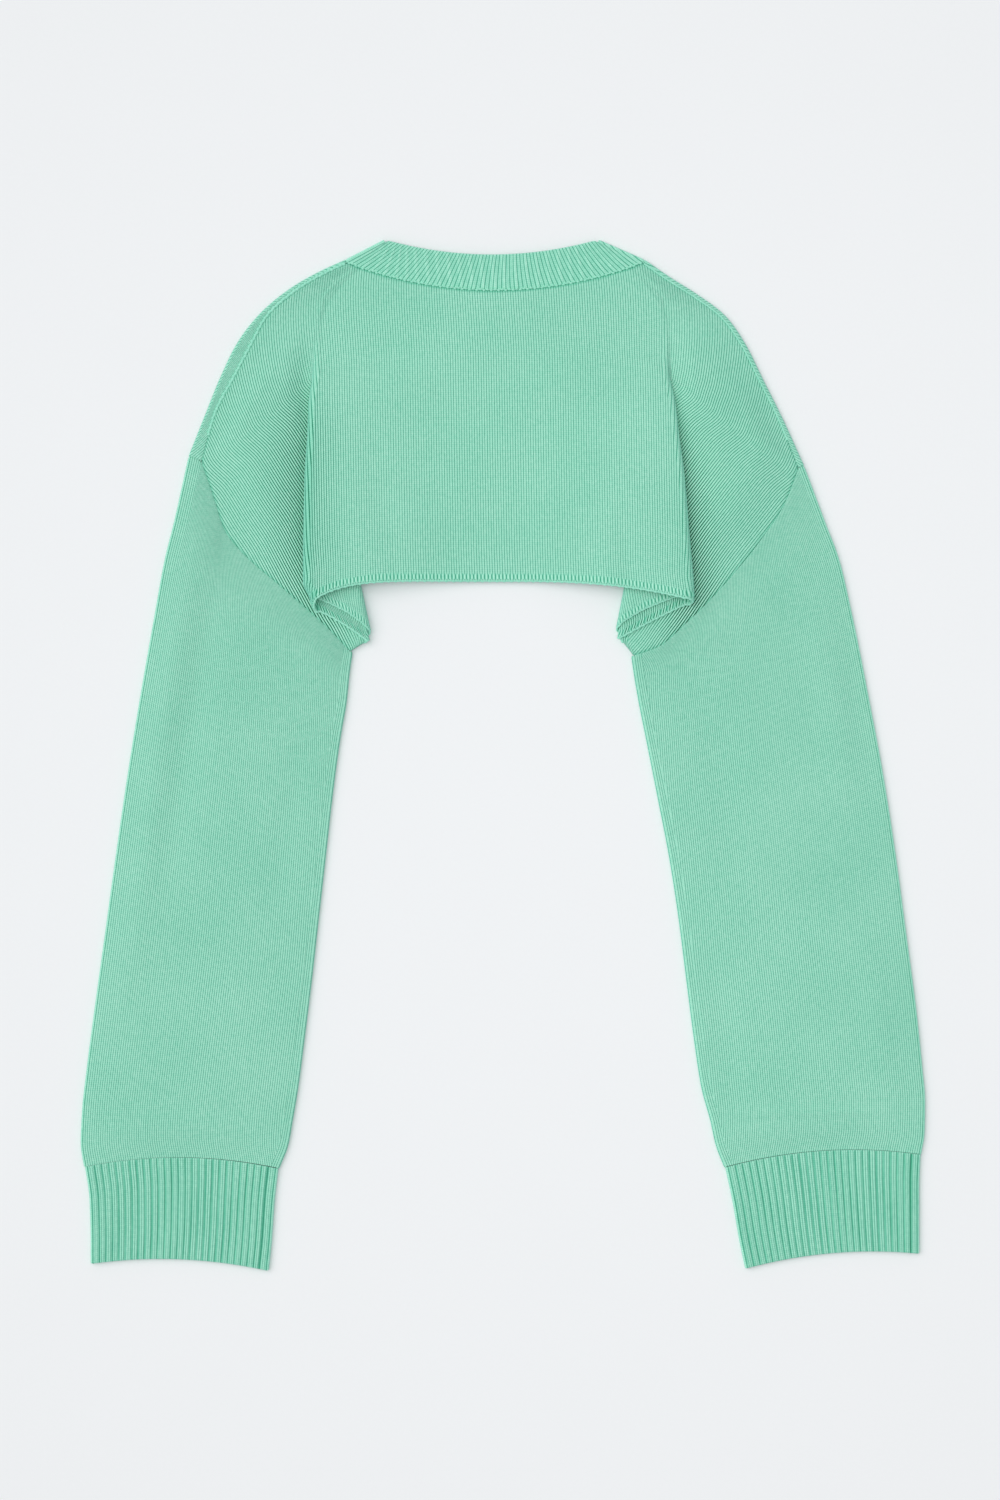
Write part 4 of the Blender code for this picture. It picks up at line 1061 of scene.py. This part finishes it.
def makeCuff(name, values):
    # lift * how much of it the folds and the two ends leave * an uneven share by rib; one groove near the
    # inner fold is deeper, and painted shade darkens the grooves, most that one
    outerLine, innerLine, bow, number = readTube(values["sections"], cuffRib)
    shares, rib, lift, ends = ribAcross(cuffRib)
    lines = between(outerLine, innerLine, shares, bow)
    rise = band(number, 0, cuffRib["rise"][0], number[-1], cuffRib["rise"][1])[:, None]
    uneven = 1
    for much, byRib, down in cuffRib["uneven"]:
        uneven = uneven + much * np.sin(byRib * rib + down * number[:, None])
    deeper = bell(shares - values["deepGroove"], 1, cuffRib["deepWidth"])
    shade = np.clip(grooveShade(lift, cuffRib) * uneven + deeper, 0, cuffRib["mostShade"])
    return tube(name, lines, lines, cuffRib, ribStitches(cuffRib), mintRib,
                lifted=lift * ends * rise * (0.5 + 0.5 * uneven) - cuffRib["deepest"] * deeper * rise,
                sunk=(max(cuffRib["heights"]) - lift) * ends * rise * cuffRib["underShare"],
                paintedShade=shade * ease(number / cuffRib["shadeStarts"])[:, None],
                sign=values["side"]["sign"], freeEnd=True)


def bandLine(w, x, halfWidth, y, drop, squareness):
    # across by the half width, and down by the drop as one minus a power of the distance out
    return np.stack([x + halfWidth * w, y - drop * (1 - np.abs(w) ** squareness)], axis=1)


def makeNeckband():
    # From the seam to the top edge in straight lines. The ribs stand upright in the middle and crowd at the
    # edge's ends: out = reach * |w| less (reach - 1) * the share beyond 0.7 to the power 1.4.
    shares, _, lift, ends = ribAcross(bandRib)
    w = np.linspace(-1, 1, len(shares))
    reach = neck["halfWidth"] / neck["edgeHalfWidth"]
    out = reach * np.abs(w)
    beyond = np.maximum(out - neck["crowdFrom"], 0) / (reach - neck["crowdFrom"])
    out -= (reach - 1) * beyond ** neck["crowdPower"]
    crowded = np.sign(w) * np.minimum(out, 1)
    seams, edges = [], []
    for drop, squareness, gap in ((neck["backDrop"], neck["backSquareness"], fabric["seamGap"]),
                                  (neck["frontDrop"], neck["frontSquareness"], neck["frontGap"])):
        seam = bandLine(w, neck["x"], neck["halfWidth"], neck["y"], drop, squareness)
        seams.append(seam + gap * inward(seam))
    for drop, squareness in ((neck["edgeBackDrop"], neck["backSquareness"]),
                             (neck["edgeFrontDrop"], neck["edgeSquareness"])):
        edge = bandLine(crowded, neck["edgeX"], neck["edgeHalfWidth"], neck["edgeY"], drop, squareness)
        edge[:, 1] -= neck["roundOff"] * ease((np.abs(w) - neck["roundFrom"]) / neck["roundOver"]) ** 2
        edges.append(edge)
    for end, sign in ((0, -1), (-1, 1)):
        corner = np.array([neck["x"] + sign * neck["halfWidth"], neck["y"]])
        seams[0][end] = seams[1][end] = corner + fabric["rolledGap"] * unit(np.array([-sign, 1.0]))
    levels = withLips(np.linspace(0, 1, bandRib["rows"]), 0, 1, reach=bandRib["lipReach"])
    over, under = (
        (seam + levels[:, None, None] * (edge - seam))[:, ::-1] for seam, edge in zip(seams, edges))
    rise = ease(np.minimum(levels, 1 - levels) / bandRib["rise"])[:, None]
    lifted = lift * ends * rise
    return tube("neckbandKnit", over, under, bandRib, ribStitches(bandRib), mintRib, lifted=lifted,
                sunk=(max(bandRib["heights"]) - lift) * ends * rise * bandRib["underShare"],
                paintedShade=grooveShade(lifted, bandRib) * rise * bandRib["shade"],
                freeEnd=True, seamDepth=bandRib["seamDepth"])


trims = {
    "backHemRim": {"radius": 0.95, "knot": 2.6, "depth": 0.30, "sway": 0.22, "lift": 0.0},
    "frontHemRim": {"radius": 0.74, "knot": 2.6, "depth": 0.25, "sway": 0.15, "lift": 0.0},
    "neckLink": {"radius": 0.85, "knot": 2.6, "depth": 0.86, "sway": 0.30, "lift": 0.20},
    "leftShoulderRidge": {"radius": 1.2, "knot": 2.4, "depth": 0.42, "sway": 0.25, "lift": 0.6},
    "rightShoulderRidge": {"radius": 0.70, "knot": 2.0, "depth": 0.18, "sway": 0.10, "lift": 0.30},
}
trimSteps = {"perKnot": 6, "round": 10}   # points


def knots(name, path, up):
    # A row of knots along a line: radius * (1 - depth + depth * |sine|), once round the sine in two knots,
    # swaying to either side by the sway
    shape = trims[name]
    lengths = np.append(0, np.cumsum(np.linalg.norm(np.diff(path, axis=0), axis=1)))
    number = round(lengths[-1] / shape["knot"])
    at = np.linspace(0, lengths[-1], number * trimSteps["perKnot"] + 1)
    line, up = (
        np.stack([np.interp(at, lengths, values[:, k]) for k in range(3)], axis=1) for values in (path, up))
    along = unit(np.gradient(line, axis=0))
    across = unit(np.cross(along, up))
    up = np.cross(across, along)
    turn = np.sin(at / lengths[-1] * number * math.pi)
    size = shape["radius"] * (1 - shape["depth"] + shape["depth"] * np.abs(turn))
    angles = np.linspace(0, 2 * np.pi, trimSteps["round"] + 1)[:-1]
    rings = across[:, None] * np.cos(angles)[:, None] + up[:, None] * np.sin(angles)[:, None]
    centres = line + shape["sway"] * turn[:, None] * across + shape["lift"] * up
    points = centres[:, None] + size[:, None, None] * rings
    index = np.arange(len(at) * len(angles)).reshape(len(at), len(angles))
    after = np.roll(index, -1, axis=1)
    quads = np.stack([index[:-1], index[1:], after[1:], after[:-1]], axis=-1).reshape(-1, 4)
    mesh = bpy.data.meshes.new(name)
    mesh.from_pydata((points.reshape(-1, 3) * mm).tolist(), [],
                     quads.tolist() + [index[0].tolist(), index[-1, ::-1].tolist()])
    return addPiece(name, mesh, mintTrimHighlit)


backHemRim = knots("backHemRim", backMiddle[0], backFacings[0])
frontHemRim = knots("frontHemRim", frontMiddle[0], frontFacings[0])
neckLink = knots("neckLink", backMiddle[-1], backFacings[-1])
shoulderRows = np.where(backRows >= body["tip"])[0][4:-4]     # short of the armhole and of the neckband
leftShoulderRidge = knots("leftShoulderRidge", backMiddle[shoulderRows, 0], backFacings[shoulderRows, 0])
rightShoulderRidge = knots("rightShoulderRidge", backMiddle[shoulderRows, -1], backFacings[shoulderRows, -1])

leftSleeveKnit = makeSleeve("leftSleeveKnit", leftSleeve)
rightSleeveKnit = makeSleeve("rightSleeveKnit", rightSleeve)
leftCuffKnit = makeCuff("leftCuffKnit", leftCuff)
rightCuffKnit = makeCuff("rightCuffKnit", rightCuff)
neckbandKnit = makeNeckband()
print("pieces made")

# Every piece stands in for its solid, whose part is hidden, and goes with its trims onto the root.
# The table lists: sheet, node, slot, width and length, area, what it rests on, and its trims
cuts = [
    (backKnit, "back_panel", "knit", (0.440, 0.250), 0.102, ["front_panel"],
     [backHemRim, leftShoulderRidge, rightShoulderRidge]),
    (frontKnit, "front_panel", "knit", (0.440, 0.250), 0.094, ["floor"], [frontHemRim]),
    (leftSleeveKnit, "left_sleeve", "knit", (0.296, 0.500), 0.128, ["floor"], []),
    (rightSleeveKnit, "right_sleeve", "knit", (0.300, 0.500), 0.135, ["floor"], []),
    (leftCuffKnit, "left_cuff", "rib", (0.272, 0.076), None, ["floor"], []),
    (rightCuffKnit, "right_cuff", "rib", (0.272, 0.076), None, ["floor"], []),
    (neckbandKnit, "neckband", "rib", (0.530, 0.022), None, ["front_panel"], [neckLink]),
]
for sheet, node, slotName, flat, area, restsOn, trimPieces in cuts:
    for piece in (sheet, *trimPieces):
        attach(piece, "root")
        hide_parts(node)

# Floor, light and camera

studio = {
    "floorColour": (0.905, 0.91, 0.915),
    "floorHalf": 14.0, "floorTop": -0.0003, "floorMottle": 0.006,
    "floorFinish": {"Roughness": 0.95, "Specular IOR Level": 0.1},
    "worldColour": (0.985, 0.99, 1.0), "worldStrength": 0.50,
    "key": {"from": (-0.62, 0.25, 0.90), "angle": 60, "power": 1.30},
    "pool": {"from": (0.0, 0.05, 1.7), "size": 0.8, "power": 5, "colour": (0.86, 0.95, 1.0)},
    "cameraHeight": 2.4, "clipEnd": 20,
    "frameHeight": 1.08,       # metres of floor from the picture's top to its bottom
    "centre": (-0.00216, 0.00324),
}
half, floorTop = studio["floorHalf"], studio["floorTop"]
floorMesh = bpy.data.meshes.new("floor")
floorMesh.from_pydata([(x * half, y * half, floorTop) for x, y in ((-1, -1), (1, -1), (1, 1), (-1, 1))], [],
                      [(0, 1, 2, 3)])
floor = bpy.data.objects.new("floor", floorMesh)
bpy.context.scene.collection.objects.link(floor)
paper, paperTree, paperShader = newMaterial("palePaper", studio["floorFinish"])
paperTone = place(paperTree, woolTone, Vector=paperTree.nodes.new("ShaderNodeTexCoord").outputs["Object"],
                  Amount=studio["floorMottle"])
paperTint = paperTree.nodes.new("ShaderNodeVectorMath")
paperTint.operation = "SCALE"
paperTint.inputs[0].default_value = studio["floorColour"]
plug(paperTree, paperTint.inputs["Scale"], paperTone["Tone"])
plug(paperTree, paperShader.inputs["Base Color"], paperTint.outputs[0])
floorMesh.materials.append(paper)

world = bpy.data.worlds.new("studio")
world.use_nodes = True
backdrop = world.node_tree.nodes["Background"].inputs
backdrop["Color"].default_value = (*studio["worldColour"], 1)
backdrop["Strength"].default_value = studio["worldStrength"]
bpy.context.scene.world = world
bpy.context.scene.view_settings.view_transform = "Standard"

# a broad soft key from the upper left, and a weak pool of light from above that fades to the corners
keyData = bpy.data.lights.new("key", "SUN")
keyData.angle = math.radians(studio["key"]["angle"])
poolData = bpy.data.lights.new("pool", "AREA")
poolData.shape = "DISK"
poolData.size = studio["pool"]["size"]
poolData.color = studio["pool"]["colour"]
for data in (keyData, poolData):
    data.energy = studio[data.name]["power"]
    light = bpy.data.objects.new(data.name, data)
    light.location = studio[data.name]["from"]
    light.rotation_euler = (-Vector(light.location)).to_track_quat("-Z", "Y").to_euler()
    bpy.context.scene.collection.objects.link(light)

cameraData = bpy.data.cameras.new("camera")
cameraData.lens = cameraData.sensor_width * studio["cameraHeight"] / studio["frameHeight"]
cameraData.clip_end = studio["clipEnd"]
camera = bpy.data.objects.new("camera", cameraData)
camera.location = (*studio["centre"], studio["cameraHeight"])
bpy.context.scene.collection.objects.link(camera)
bpy.context.scene.camera = camera
